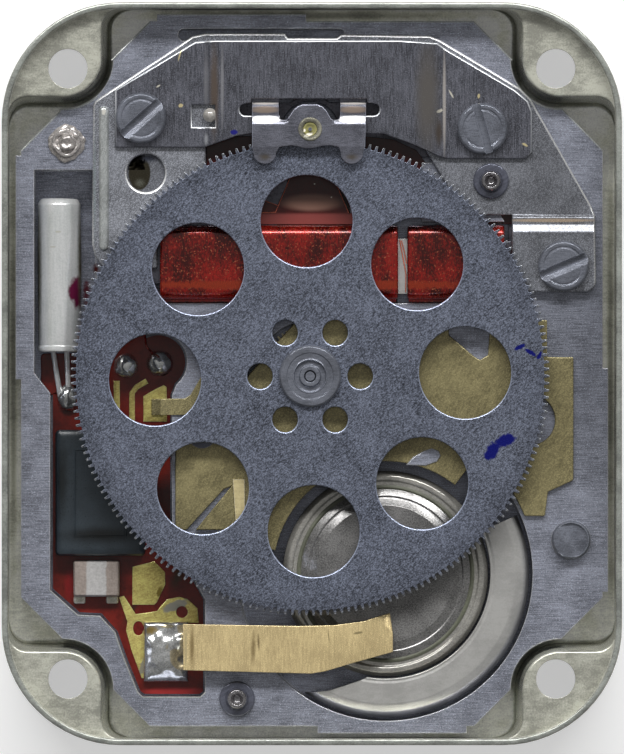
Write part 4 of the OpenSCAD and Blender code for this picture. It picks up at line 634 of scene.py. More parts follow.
def formed(name, node, height, thick, finish, loops, cuts_x=(), cuts_y=(), cuts_free=(), edge=0.05, angle=50,
           hole_edge=None, rim_light=1.0, **rest):
    """A sheet with rounded edges: a flat plan set to a level height, or cut finely and bent to a function."""
    loops = [facing(loop, k > 0) for k, loop in enumerate(loops)]
    widths = [edge] + [hole_edge or edge] * (len(loops) - 1)
    bm = bmesh.new()
    # Each rim point keeps a painted edge highlight from lit_rim; rim_light scales it on the outer outline.
    edge_wear_and_highlight = bm.verts.layers.float.new("rim")
    for place, (loop, width) in enumerate(zip(loops, widths)):
        rim = [(0, thick)] + [(a * width, b * width) for a, b in RIM]
        rows = loft(bm, [[(x, y, -drop) for x, y in inset_loop(loop, by)] for by, drop in rim])
        for row, fade in zip(rows, (0.6, 1, 1, 1, 0.8, 0)):
            for v, lit in zip(row, lit_rim(loop)):
                v[edge_wear_and_highlight] = lit * fade * (1 if place else rim_light)
    flat(bm, [[(x, y, 0) for x, y in inset_loop(loop, width)] for loop, width in zip(loops, widths)])
    flat(bm, [[(x, y, -thick) for x, y in loop] for loop in loops])
    bmesh.ops.remove_doubles(bm, verts=bm.verts, dist=1e-7)
    cuts = [((x, 0), (1, 0)) for x in cuts_x] + [((0, y), (0, 1)) for y in cuts_y] + list(cuts_free)
    for place, normal in cuts:
        bmesh.ops.bisect_plane(bm, geom=bm.verts[:] + bm.edges[:] + bm.faces[:], dist=1e-8,
                               plane_co=Vector((*place, 0)) * MM, plane_no=(*normal, 0))
    for v in bm.verts:
        v.co.z += (height(v.co.x / MM, v.co.y / MM) if callable(height) else height) * MM
    piece = build(name, bm, finish, node=node, angle=angle, **rest)
    crease_level(piece.data)
    piece.modifiers.new("weigh", "WEIGHTED_NORMAL").keep_sharp = True
    return piece


SLOT_TOP = 6.54


def slotted(name, centre, profile, slot_w, slot_turn, floor, lit, finish, **rest):
    """A turned screw head with a slot cut across it; the slot's lit side is worn to a slope."""
    bm = bmesh.new()
    lathe(bm, profile, centre, 96)
    piece = build(name, bm, finish, **rest)
    cutter_mesh = bpy.data.meshes.new("cutter")
    cutter = bpy.data.objects.new("cutter", cutter_mesh)
    wedge = bmesh.new()
    half, far, lip = slot_w / 2, 3.0, SLOT_TOP + 0.06
    worn = 0.24 if lit else 0.08
    shape = [(-half, floor), (half - 0.1 * abs(lit), floor), (half - 0.06 * abs(lit), SLOT_TOP - 0.1 * abs(lit)),
             (half + worn, lip), (half + worn, 8), (-half - 0.06, 8), (-half - 0.06, lip), (-half, SLOT_TOP)]
    shape = [(y * (lit or 1), z) for y, z in shape]
    loft(wedge, [[(x, y, z) for y, z in shape] for x in (-far, far)], capped=True)
    bmesh.ops.recalc_face_normals(wedge, faces=wedge.faces)
    turn = Matrix.Rotation(math.radians(slot_turn), 4, "Z")
    bmesh.ops.transform(wedge, matrix=Matrix.Translation(Vector((*centre, 0)) * MM) @ turn, verts=wedge.verts)
    wedge.to_mesh(cutter_mesh)
    wedge.free()
    bpy.context.collection.objects.link(cutter)
    carve = piece.modifiers.new("slot", "BOOLEAN")
    carve.operation, carve.solver, carve.object = "DIFFERENCE", "EXACT", cutter
    piece.data = bpy.data.meshes.new_from_object(piece.evaluated_get(bpy.context.evaluated_depsgraph_get()))
    piece.modifiers.clear()
    bpy.data.objects.remove(cutter)


def wires(name, paths, r, finish, sides=8, **rest):
    """Round wires along lines of points."""
    bm = bmesh.new()
    for path in paths:
        points = [Vector(p) for p in path]
        rings = []
        for k, here in enumerate(points):
            ahead = (points[min(k + 1, len(points) - 1)] - points[max(k - 1, 0)]).normalized()
            side = ahead.cross(Vector((0.13, 0.21, 1))).normalized()
            lift = side.cross(ahead)
            rings.append([here + side * s + lift * h for s, h in spot(0, 0, r, sides)])
        loft(bm, rings, capped=True)
    return build(name, bm, finish, **rest)


def slab_of(loops, z0, z1, edge):
    """The mesh of a flat sheet between two heights from closed outlines, with rounded edges."""
    curve = bpy.data.curves.new("slab", "CURVE")
    curve.dimensions, curve.fill_mode = "2D", "BOTH"
    for loop in loops:
        spline = curve.splines.new("POLY")
        spline.points.add(len(loop) - 1)
        for point, place in zip(spline.points, loop):
            point.co = (place[0] * MM, place[1] * MM, 0, 1)
        spline.use_cyclic_u = True
    curve.extrude = ((z1 - z0) / 2 - edge) * MM
    curve.bevel_depth, curve.offset = edge * MM, -edge * MM
    curve.bevel_resolution = 2
    shape = bpy.data.objects.new("slab", curve)
    bpy.context.collection.objects.link(shape)
    mesh = bpy.data.meshes.new_from_object(shape.evaluated_get(bpy.context.evaluated_depsgraph_get()))
    bpy.data.objects.remove(shape)
    bpy.data.curves.remove(curve)
    mesh.transform(Matrix.Translation((0, 0, (z0 + z1) / 2 * MM)))
    return mesh


def roughen(mesh, size, depth, seed):
    """Moves every point along its normal by smooth noise."""
    shift = Vector((seed * 7.3, seed * 3.1, seed))
    moved = [v.co + v.normal * noise.noise(v.co / (size * MM) + shift) * depth * MM for v in mesh.vertices]
    for v, place in zip(mesh.vertices, moved):
        v.co = place


def turned(name, node, centre, shape, finish, steps=64, r=0.05, bends=4, lobes=0, depth=0.0, **rest):
    """A piece turned on a lathe from a profile with rounded corners."""
    bm = bmesh.new()
    lathe(bm, rounded(shape, r, bends), centre, steps, lobes, depth)
    return build(name, bm, finish, node=node, **rest)


def blob(name, centre, radii, lump, seed):
    """A lump of solder: a ball that is drawn out, dimpled and cut off at the board."""
    bm = bmesh.new()
    bmesh.ops.create_icosphere(bm, subdivisions=4, radius=1)
    for v in bm.verts:
        dent = noise.noise(v.co * 1.3 + Vector((seed, 2 * seed, 0)))
        v.co *= 1 + lump * dent + lump * 0.4 * noise.noise(v.co * 3.1 + Vector((seed, 0, 5)))
        place = Vector((v.co.x * radii[0], v.co.y * radii[1], v.co.z * radii[2])) + Vector(centre)
        place.z = max(place.z, BOARD_Z)
        v.co = place * MM
    build(name, bm, "solder", weld=1e-3, node="solder_joints", slot="tin")


# The drawn tray: a rim, a ledge under the plate and four pads with flowing walls.
IN_W, IN_L, IN_R, WALL = 17.1, 20.55, 6.35, 0.35
RIM_Z, PAD_Z, LEDGE_Z, SHEET = 7.7, 6.9, 2.0, 0.3
PAD_X, PAD_Y, HEAD_R, FLARE_R = 14.0, 17.75, 2.1, 1.1
HOLE = (13.73, 17.18)
HOLE_R = 1.1
SHOULDER, LOWER, FOOT = 0.29, 0.27, 0.95
CORNERS = ((1, 1), (-1, 1), (-1, -1), (1, -1))


def wall_ring(grow, z):
    ring = []
    for (sx, sy), a in zip(CORNERS, (0, 90, 180, 270)):
        spots = arc(sx * (IN_W - IN_R), sy * (IN_L - IN_R), IN_R + grow, a, a + 90, 16)
        ring += [(x, y, z) for x, y in spots]
    return ring


def pad_path(out):
    """The pad wall's flowing line in the first corner, a given distance out from the pad's head."""
    r = HEAD_R + out
    low_y, left_x = PAD_Y - r, PAD_X - r
    return (arc(IN_W - FLARE_R, low_y - FLARE_R, FLARE_R, 0, 90, 8) + arc(PAD_X, PAD_Y, r, 270, 180, 14)
            + arc(left_x - FLARE_R, IN_L - FLARE_R, FLARE_R, 0, 90, 8))


def make_tray():
    bm = bmesh.new()
    rim = rounded([(0, 4), (0, RIM_Z, 0.14), (WALL, RIM_Z, 0.14), (WALL, 0, 0.1), (0, 0, 0.1), (0, 4)], 0.1)
    loft(bm, [wall_ring(d, z) for d, z in rim])
    outer_wall = rounded([(-SHOULDER, PAD_Z), (0.04, PAD_Z, 0.5), (0.4, LEDGE_Z, 0.5), (FOOT, LEDGE_Z)], 0.3, 7)
    inner_wall = rounded([(-LOWER, PAD_Z - SHEET), (-0.22, PAD_Z - SHEET, 0.04),
                          (0.1, LEDGE_Z - SHEET, 0.7), (FOOT, LEDGE_Z - SHEET)], 0.3, 7)
    start = math.degrees(math.asin((PAD_Y - HEAD_R + SHOULDER - FLARE_R - IN_L + IN_R) / IN_R))
    end = math.degrees(math.acos((PAD_X - HEAD_R + SHOULDER - FLARE_R - IN_W + IN_R) / IN_R))
    hole_edge = rounded([(HOLE_R + 0.05, PAD_Z), (HOLE_R, PAD_Z, 0.05), (HOLE_R, PAD_Z - SHEET, 0.05),
                         (HOLE_R + 0.05, PAD_Z - SHEET)], 0.05)
    for sx, sy in CORNERS:
        for wall in (outer_wall, inner_wall):
            loft(bm, [[(sx * x, sy * y, z) for x, y in pad_path(d)] for d, z in wall], wrap=False)
        far = arc(IN_W - IN_R, IN_L - IN_R, IN_R + 0.08, end, start, 14)
        hole = (sx * HOLE[0], sy * HOLE[1])
        for out, z, r in ((-SHOULDER, PAD_Z, hole_edge[0][0]), (-LOWER, PAD_Z - SHEET, hole_edge[-1][0])):
            edge = [(sx * x, sy * y, z) for x, y in pad_path(out) + far]
            flat(bm, [edge, circle(hole, r, z, 48)])
        lathe(bm, hole_edge, hole, 48)
    outer, inner = [], []
    lip = arc(PAD_X, PAD_Y, 3.5, 270, 180, 10)
    for k, (sx, sy) in enumerate(CORNERS):
        way = -1 if k % 2 else 1
        outer += [(sx * x, sy * y) for x, y in pad_path(FOOT)[::way]]
        inner += [(sx * x, sy * y) for x, y in ([(14.75, 13.6)] + lip + [(9.85, 18.5)])[::way]]
    for z in (LEDGE_Z, LEDGE_Z - SHEET):
        flat(bm, [[(x, y, z) for x, y in outer], [(x, y, z) for x, y in inner]])
    loft(bm, [[(x, y, z) for x, y in inner] for z in (LEDGE_Z, LEDGE_Z - SHEET)])
    build("tray_shell", bm, "tray_metal", node="movement_tray", angle=50)


make_tray()

# Sheets that are bent from the CAD's own outlines.
PLATE_SHEET, CLIP_SHEET = 0.3, 0.2
BRIDGE_LINE = line_height([(-20, 6.1), (-6.05, 6.1, 0.35), (-5.75, 6.3, 0.2), (-5.2, 6.37, 0.3), (-4.5, 6.55, 0.5),
                           (5.7, 6.55, 0.9), (7.35, 6.1, 0.25), (20, 6.1)], 0.3)
BRIDGE_LOOPS = [
    [(-11.09, 12.74), (-11.09, 15.98), (-6.59, 18.69), (-5.57, 18.77), (4.96, 18.77), (7.05, 18.63),
     (7.61, 18.24), (11.44, 15.98), (12.17, 15.36), (12.4, 14.74), (12.4, 12.49), (12.06, 12.1), (7.55, 12.1),
     (7.1, 12.26), (5.81, 12.85), (4.01, 13.5), (-3.49, 13.5), (-4.22, 13.39), (-6.02, 12.74)],
    arc(-3.74, 14.87, 0.33, 270, 90, 10) + [(-3.4, 15.26), (-3.4, 15.48), (3.1, 15.48), (3.1, 15.26)]
    + arc(3.48, 14.87, 0.33, 90, -90, 10) + [(1.58, 14.54), (1.58, 14.29), (-1.8, 14.29), (-1.8, 14.54)],
    [(-6.75, 13.9), (-5.46, 13.9), (-5.46, 15.14), (-6.75, 15.14)]]
formed("bridge_sheet", "motor_bridge", lambda x, y: BRIDGE_LINE(x), PLATE_SHEET, "bridge_steel", BRIDGE_LOOPS,
       edge=0.09, cuts_x=steps_between(-6.3, -4.1, 0.08) + steps_between(5.1, 7.7, 0.1))

TAB_X = 11.27
FRAME_Z = 5.8
TAB_LINE = line_height([(-30, FRAME_Z), (-8.95, FRAME_Z, 0.04), (-8.82, 5.92, 0.04), (-8.42, 5.93, 0.08),
                        (-7.98, 6.1, 0.2), (20, 6.1)], 0.2)
FRAME_LOOPS = [
    [(-11.6, 5.95), (-11.9, 6.1), (-12.25, 6.7), (-12.39, 7.3), (-12.33, 15.08), (-12.22, 15.34), (-12.0, 15.52),
     (-7.54, 18.46), (-6.75, 19), (-6.02, 19.17), (-1.52, 19.17), (-1.35, 18.91), (1.41, 18.91), (1.64, 19.11),
     (6.65, 19.03), (7.22, 18.8), (11.72, 16.1), (12.34, 15.48), (12.68, 14.86), (15.72, 9.5),
     (15.95, 8.94)] + arc(15.4, 5.2, 0.6, 0, -90, 8)
    + [(TAB_X, 4.6), (TAB_X, 8.94), (8.6, 8.94), (5.81, 13.5), (3.75, 13.5), (3.75, 15.45), (-4.05, 15.45),
       (-4.05, 13.5), (-5.98, 13.5), (-5.96, 11.4), (-8.7, 9.2), (-8.7, 5.95)],
    spot(*FRAME_WINDOW, 1.08)]
formed("frame_sheet", "frame_plate", lambda x, y: TAB_LINE(-y) if x > 9 else FRAME_Z, PLATE_SHEET, "frame_nickel",
       FRAME_LOOPS, edge=0.12, cuts_y=steps_between(8.95, 7.9, 0.05))


def make_rib():
    """The long pressed rib beside the window in the frame plate."""
    bm = bmesh.new()
    rings = []
    rib_x, rib_y0, rib_y1, rib_half = -11.72, 7.2, 14.8, 0.27
    for grow, z in rounded([(0.02, 5.79), (-0.06, 5.96, 0.2), (-0.25, 6.0)], 0.1, 5):
        r = rib_half + grow
        line = arc(rib_x, rib_y1, r, 0, 180, 12) + arc(rib_x, rib_y0, r, 180, 360, 12)
        rings.append([(x, y, z) for x, y in line])
    rows = loft(bm, rings)
    bm.faces.new(rows[-1])
    build("frame_rib", bm, "rib_nickel", slot="frame_nickel")


make_rib()

CLIP_LINE = line_height([(-30, 6.22), (-15.3, 6.22, 0.06), (-15.2, 6.3, 0.04), (-14.95, 6.42, 0.05),
                         (-14.58, 7.3, 0.1), (-14.1, 7.52, 0.1), (-14.0, 7.55, 0.06), (-12.75, 7.55, 0.2),
                         (-12.3, 7.38, 0.1), (0, 7.38)], 0.2)


TONGUE_Y, TONGUE_HALF, TONGUE_Z, DOME_RISE, DOME_SPREAD = 14.05, 1.25, 7.55, 0.08, 0.7


def clip_height(x, y):
    """The clip's level tongue or its bent side line, raised a little round the jewel."""
    tongue = y > TONGUE_Y and abs(x - ROTOR[0]) < TONGUE_HALF
    away = (x - ROTOR[0]) ** 2 + (y - ROTOR[1]) ** 2
    return (TONGUE_Z if tongue else CLIP_LINE(-y)) + DOME_RISE * math.exp(-away / DOME_SPREAD)


def make_clip():
    """The rotor's spring clip: two arms out of the bridge's slot, a tongue, a band and two ears."""

    def ear(cx):
        return arc(cx, 12.43, 0.64, 0, -180, 12)

    left = [(-3.37, 12.8), (-3.37, 16.1), (-1.87, 16.1), (-1.87, 14.6), (-1.82, 14.36), (-1.62, 14.25),
            (-1.42, 14.28)]
    tongue = [(-1.25, 14.51), (-1.01, 14.86), (-0.78, 15.05), (-0.5, 15.14), (0.3, 15.14), (0.6, 15.03),
              (0.84, 14.75), (1.07, 14.36)]
    right = [(1.16, 14.28), (1.34, 14.25), (1.54, 14.34), (1.6, 14.6), (1.6, 16.1), (3.08, 16.1), (3.0, 12.8)]
    under = [(1.5, 12.74), (1.09, 12.84), (0.62, 12.82), (0.15, 12.69), (-0.13, 12.65), (-0.41, 12.67),
             (-0.78, 12.78), (-1.15, 12.84), (-1.8, 12.76)]
    loop = left + tongue + right + ear(2.25) + under + ear(-2.65)
    formed("clip_sheet", "jewel_clip", clip_height, CLIP_SHEET, "spring_steel", [loop, spot(*ROTOR, 0.6, 48)],
           edge=0.045, cuts_x=steps_between(-1.3, 1.1, 0.2), cuts_y=steps_between(12.1, 15.6, 0.06))


make_clip()

STRIP_LINE = line_height([(-20, 6.55), (0.6, 6.55, 0.5), (4.1, 5.75, 0.12), (4.6, 5.7), (20, 5.7)], 0.2)
STRIP_LOOP = [(-7.25, -16.7), (-7.25, -14.1), (-0.67, -14.21), (1.3, -14.16), (2.9, -13.95), (4.4, -13.48),
              (4.57, -14.72), (4.57, -15.68), (2.3, -16.3), (0.8, -16.75), (0, -16.89), (-3.5, -16.8)]
CREASE, CREASE_N, FOLD_SLOPE = (4.19, -14.26), (0.7, 0.714), 0.45


def strip_height(x, y):
    """Level, then down to the cell, with the far corner folded over along a crease."""
    past = (x - CREASE[0]) * CREASE_N[0] + (y - CREASE[1]) * CREASE_N[1]
    return STRIP_LINE(x) - FOLD_SLOPE * max(0.0, past)


def make_strip():
    """The contact strip: up from its leg, level, then down to the cell's cap."""
    creases = [((CREASE[0] + d * CREASE_N[0], CREASE[1] + d * CREASE_N[1]), CREASE_N) for d in (-0.05, 0.0, 0.06)]
    formed("contact_strip", "battery_contact", strip_height, CLIP_SHEET, "pale_brass", [STRIP_LOOP], edge=0.04,
           cuts_x=steps_between(0.0, 4.6, 0.1), cuts_free=creases)
    bm = bmesh.new()
    leg_x, leg_y0, leg_y1, half = -7.15, -16.69, -14.11, CLIP_SHEET / 2
    loft(bm, [[(leg_x + side * half, y, z) for side, y in ((-1, leg_y0), (-1, leg_y1), (1, leg_y1), (1, leg_y0))]
              for z in (3.76, 5.0, 6.36)])
    build("contact_leg", bm, "pale_brass")


make_strip()


def rounded_box(name, x0, x1, y0, y1, profile, corner, finish, steps=4, **rest):
    """A box whose walls follow a profile of inset and height, with rounded upright corners."""
    bm = bmesh.new()
    rings = []
    for inset, z in profile:
        r = max(corner - inset, 0.02)
        ring = []
        for sx, sy, a in ((1, 1, 0), (0, 1, 90), (0, 0, 180), (1, 0, 270)):
            cx = x1 - inset - r if sx else x0 + inset + r
            cy = y1 - inset - r if sy else y0 + inset + r
            ring += [(x, y, z) for x, y in arc(cx, cy, r, a, a + 90, steps)]
        rings.append(ring)
    loft(bm, rings, capped=True)
    return build(name, bm, finish, **rest)


# The coil: two sections of fine enamelled wire.
COIL_Y, COIL_Z, COIL_HALF_Y, COIL_HALF_Z = 6.27, 5.25, 2.1, 1.0
WIRE_PITCH, WIRE_RIPPLE, COIL_CORNER = 0.06, 0.0025, 0.6
END_ROUND, UNEVEN, SETTLED = 0.1, 0.016, 0.014


def winding(name, node, x0, x1):
    """A section of the coil: the skin of its fine wires lying side by side, a little uneven."""
    count = round((x1 - x0) / WIRE_PITCH) * 4
    loop = []
    for sy, sz, a in ((1, 1, 0), (-1, 1, 90), (-1, -1, 180), (1, -1, 270)):
        mid_y, mid_z = COIL_Y + sy * (COIL_HALF_Y - COIL_CORNER), COIL_Z + sz * (COIL_HALF_Z - COIL_CORNER)
        loop += [(mid_y + COIL_CORNER * ny, mid_z + COIL_CORNER * nz, ny, nz)
                 for ny, nz in arc(0, 0, 1, a, a + 90, 10)]
    bm = bmesh.new()
    rings = []
    for k in range(count + 1):
        x = x0 + (x1 - x0) * k / count
        end = min(x - x0, x1 - x)
        ring = []
        for y, z, ny, nz in loop:
            lift = WIRE_RIPPLE * math.cos(math.pi * k / 2) - END_ROUND * math.exp(-end / (END_ROUND / 2))
            lift += UNEVEN * noise.noise(Vector((x * 1.3, y * 0.5, z))) - SETTLED
            ring.append((x, y + ny * lift, z + nz * lift))
        rings.append(ring)
    loft(bm, rings, capped=True)
    build(name, bm, "coil_enamel", weld=1e-6, node=node, angle=60)


winding("winding_left", "coil_winding_left", -8.56, 4.84)
winding("winding_right", "coil_winding_right", 5.39, 10.84)

# The button cell and its spring strap.
turned("can_shell", "cell_can", CELL,
       [(0, 2.35), (5.8, 2.35, 0.2), (5.8, 4.75, 0.3), (5.55, 5.08, 0.2), (5.3, 5.1, 0.15), (5.2, 5.0, 0.1),
        (4.95, 5.0, 0.05), (4.95, 4.8, 0.05), (0, 4.8)], "cell_steel", 128, r=0.1, bends=6)
turned("gasket_ring", "cell_gasket", CELL,
       [(4.6, 4.82), (4.96, 4.82, 0), (5.02, 5.06, 0.06), (4.86, 5.09, 0.06), (4.6, 4.9)], "gasket", 128)
turned("cap_shell", "cell_cap", CELL,
       [(0, 5.4), (3.86, 5.4, 0.12), (4.22, 5.2, 0.08), (4.32, 5.16, 0.04), (4.4, 5.2, 0.06), (4.84, 5.0, 0.1),
        (4.9, 4.82, 0.05), (4.6, 4.81)], "cap_steel", 128, r=0.1, bends=5, slot="cell_steel")
STRAP = rounded([(5.9, 5.02), (5.92, 5.2, 0.07), (6.06, 5.16, 0.06), (6.2, 5.2, 0.1), (7.35, 5.2, 0.45),
                 (7.9, 5.0, 0.35), (8.1, 4.4, 0.35), (8.1, 2.35), (7.95, 2.35), (7.95, 4.4, 0.2), (7.78, 4.88, 0.2),
                 (7.3, 5.05), (6.1, 5.05), (5.9, 5.02)], 0.08, 5)


def make_strap():
    bm = bmesh.new()
    rings = []
    first, inner_end, outer_end, r_in, r_out = 24.0, -99.9, -124.4, 5.9, 8.1
    for k in range(81):
        ring = []
        for r, z in STRAP[:-1]:
            end = inner_end + (outer_end - inner_end) * (r - r_in) / (r_out - r_in)
            a = math.radians(first + (end - first) * k / 80)
            ring.append((CELL[0] + r * math.cos(a), CELL[1] + r * math.sin(a), z))
        rings.append(ring)
    loft(bm, rings, capped=True)
    build("strap_shell", bm, "strap_steel", node="cell_strap", slot="cell_steel")


make_strap()

# The train bridge's edge that hangs over the well, and a plate lug that shows beside it.
APRON_R, APRON_OUT, APRON_Z = 6.35, 8.7, 5.79
formed("train_apron", None, APRON_Z, 0.27, "olive_brass",
       [arc(*CELL, APRON_R, 52, 168, 40) + arc(*CELL, APRON_OUT, 168, 52, 40)], edge=0.06)
formed("plate_lug", None, 5.86, 0.1, "plate_nickel", [
    [(5.3, -5.15), (5.7, -4.7), (6.3, -4.35), (6.75, -4.2), (7.15, -4.35), (7.25, -4.62), (7.05, -4.95),
     (6.4, -5.18)]], edge=0.04)

# Screws, posts, the stud and the hub.
SCREW = rounded([(0, 4.2), (0.55, 4.2, 0), (0.55, 6.11, 0), (1.38, 6.11, 0.05), (1.43, 6.2, 0.05), (1.43, 6.5, 0.1),
                 (1.3, 6.6, 0.08), (1.14, 6.6, 0.03), (1.06, 6.55, 0.03), (0.95, 6.585, 0.03), (0, 6.6)], 0.05, 3)
for place, turn, lit in (((-9.63, 14.4), 42, -1), ((9.61, 13.81), 106, 0), ((14.17, 6.07), 23, -1)):
    slotted("screw_%d" % turn, place, SCREW, 0.4, turn, 6.25, lit, "turned_steel", node="plate_screws")

POST_FLANGE = [(0, -0.4), (0.5, -0.4, 0), (0.5, 0.0, 0), (0.95, 0.0, 0.03), (1.0, 0.05, 0.03), (1.0, 0.2, 0.06),
               (0.92, 0.25, 0.05), (0.66, 0.25, 0.06), (0.6, 0.21, 0.04), (0.4, 0.21)]
POST_TIP = [(0.54, 0.18), (0.55, 0.7, 0.08), (0.49, 0.8, 0.06), (0.36, 0.8, 0.05), (0.27, 0.68, 0.06),
            (0.2, 0.45, 0.1), (0.0, 0.42)]
for name, place, seat in (("east_post", (10.09, 10.86), 5.8), ("south_post", (-4.22, -18.33), 5.5)):
    for end, shape, bends, finish in (("", POST_FLANGE, 3, "dark_steel"), ("_tip", POST_TIP, 4, "post_steel")):
        turned(name + end, "flanged_posts", place, [(r, seat + z, *bend) for r, z, *bend in shape], finish,
               bends=bends, slot="dark_steel")
stud = turned("stud_head", "crimped_stud", (-13.82, 13.0),
              [(0, 5.2), (0.5, 5.2, 0), (0.5, 5.5, 0), (1.0, 5.5, 0.05), (1.04, 5.62, 0.08), (0.8, 5.72, 0.08),
               (0.76, 5.84, 0.05), (0.6, 5.84, 0.05), (0.52, 5.74, 0.06), (0.44, 5.96, 0.08), (0.3, 6.06, 0.2),
               (0, 6.0)], "stud_nickel", lobes=4, depth=0.035, slot="turned_steel")
roughen(stud.data, 0.35, 0.1, 3)
turned("locating_tip", "locating_post", (-5.74, 14.57),
       [(0, 5.2), (0.4, 5.2, 0), (0.4, 6.25, 0.25), (0.15, 6.43, 0.2), (0, 6.45)], "bright_steel", r=0.1,
       slot="turned_steel")
turned("setting_cup", "jewel_setting", ROTOR,
       [(0.38, 7.2), (0.64, 7.2, 0), (0.67, 7.62, 0.04), (0.62, 7.66, 0.03), (0.54, 7.65, 0.03), (0.44, 7.58, 0.05),
        (0.4, 7.52, 0.03), (0.38, 7.3, 0)], "cup_metal", slot="brass")
turned("jewel_cup", "upper_rotor_jewel", ROTOR,
       [(0, 7.2), (0.385, 7.2, 0), (0.385, 7.5, 0.03), (0.3, 7.48, 0.05), (0.16, 7.38, 0.05), (0, 7.34)], "ruby",
       r=0.03)
# A thin disc under the frame's window, whose material carries the window's painted shade and light.
turned("window_floor", "frame_plate", FRAME_WINDOW,
       [(0, 5.44), (1.06, 5.44, 0), (1.06, 5.5, 0), (0, 5.5)], "window_metal", r=0.0, slot="frame_nickel")
turned("hub_shell", "seconds_hub", WHEEL,
       [(0.25, 6.7), (1.5, 6.7, 0), (1.5, 6.86, 0), (1.75, 6.86, 0.04), (1.75, 7.1, 0.08), (1.64, 7.2, 0.06),
        (1.34, 7.2, 0.03), (1.28, 7.15, 0.03), (1.0, 7.15, 0.03), (0.92, 7.2, 0.03), (0.88, 7.0, 0.05),
        (0.62, 6.98, 0.05), (0.57, 7.25, 0.05), (0.34, 7.25, 0.04), (0.31, 6.9, 0.04), (0.25, 6.9)],
       "turned_steel", 96, body="seconds")


def make_pin():
    """The stop pin: a round head whose top is a soft slanted facet."""
    bm = bmesh.new()
    centre, slant, step = (14.6, -9.37), (0.87, 0.5), 0.16
    profile = rounded([(0.0, 4.8), (0.9, 4.8, 0), (0.9, 5.5, 0), (1.1, 5.5, 0), (1.1, 6.08, 0.1), (0.98, 6.2, 0.06),
                       (0.0, 6.2)], 0.05, 4)
    profile = profile[:-1] + [(0.98 * (1 - k / 14), 6.2) for k in range(1, 15)]
    lathe(bm, profile, centre, 96)
    for v in bm.verts:
        x, y = v.co.x / MM - centre[0], v.co.y / MM - centre[1]
        if v.co.z > 5.9 * MM and math.hypot(x, y) < 0.97:
            along = x * slant[0] + y * slant[1]
            v.co.z -= step * MM / (1 + math.exp(-(along + 0.1) * 12))
            v.co.z += 0.02 * MM * noise.noise(v.co / MM * 2.5)
    build("pin_head", bm, "turned_steel", node="stop_pin")


make_pin()


def make_crystal():
    """The quartz crystal's can, turned along its length, with rounded ends and faint dents."""
    bm = bmesh.new()
    length, r, foot = 8.65, 1.25, (-14.25, 1.25, 4.05)
    profile = [(0, 0), (1.22, 0, 0.04), (1.25, 0.1, 0.05), (1.25, 0.28, 0.03), (1.2, 0.36, 0.03), (1.22, 0.5, 0.1)]
    profile += [(1.235, 1.5), (1.24, 3.0), (1.235, 4.5), (1.24, 6.0), (1.235, 7.4)]
    profile += [(r - 0.02, length - 0.35, 0.3), (1.05, length - 0.02, 0.25), (0, length)]
    lathe(bm, rounded(profile, 0.3, 5), (0, 0), 72)
    turn = Matrix.Rotation(math.radians(-90), 4, "X")
    bmesh.ops.transform(bm, matrix=Matrix.Translation(Vector(foot) * MM) @ turn, verts=bm.verts)
    piece = build("crystal_shell", bm, "crystal_metal", node="crystal_can")
    roughen(piece.data, 1.6, 0.05, 2)


make_crystal()

# The circuit: board metal, package, capacitor and solder.
PAD_T = 0.06


def track(points, width):
    """The outline of a track of even width along a line of points."""
    left, right = [], []
    for k, here in enumerate(points):
        p = Vector(here)
        ahead = (Vector(points[min(k + 1, len(points) - 1)]) - Vector(points[max(k - 1, 0)])).normalized()
        side = Vector((-ahead.y, ahead.x)) * width / 2
        left.append(tuple(p + side))
        right.append(tuple(p - side))
    return left + right[::-1]


LEFT_HOLE, TOP_HOLE = (-9.8, -14.38), (-7.34, -13.46)
GOLD = [
    [track([(-11.02, -0.4), (-11.02, -2.2)], 0.34)],
    [track([(-9.32, -0.41), (-9.9, -0.75), (-10.16, -1.1), (-10.16, -2.7)], 0.32)],
    [[(-9.52, -1.27), (-8.9, -0.9), (-8.37, -0.64), (-8.2, -0.76), (-8.18, -2.71), (-9.52, -2.71)]],
    [[(-10.14, -13.05), (-10.14, -10.9), (-8.9, -10.6), (-8.3, -11.2), (-8.28, -11.9), (-8.75, -12.9),
      (-8.9, -13.05)]],
    [[(-10.9, -12.62), (-10.62, -12.55), (-9.95, -13.58), (-9.3, -13.5), (-8.74, -13.4), (-8.19, -12.75),
      (-7.5, -12.6), (-7.02, -12.73), (-6.46, -13.25), (-6.38, -14.07), (-9.0, -14.1), (-9.35, -14.9),
      (-9.5, -15.7), (-9.35, -17.2), (-9.62, -17.2), (-10.2, -15.6), (-10.5, -14.5), (-10.42, -14.0)],
     [(x, LEFT_HOLE[1] + 1.35 * y) for x, y in spot(LEFT_HOLE[0], 0, 0.3, 28)], spot(*TOP_HOLE, 0.33, 28)],
]


def make_gold():
    joined = bmesh.new()
    for loops in GOLD:
        mesh = slab_of(loops, BOARD_Z, BOARD_Z + PAD_T, 0.02)
        joined.from_mesh(mesh)
        bpy.data.meshes.remove(mesh)
    build("board_gold", joined, "gold_copper", node="board_pads")


make_gold()

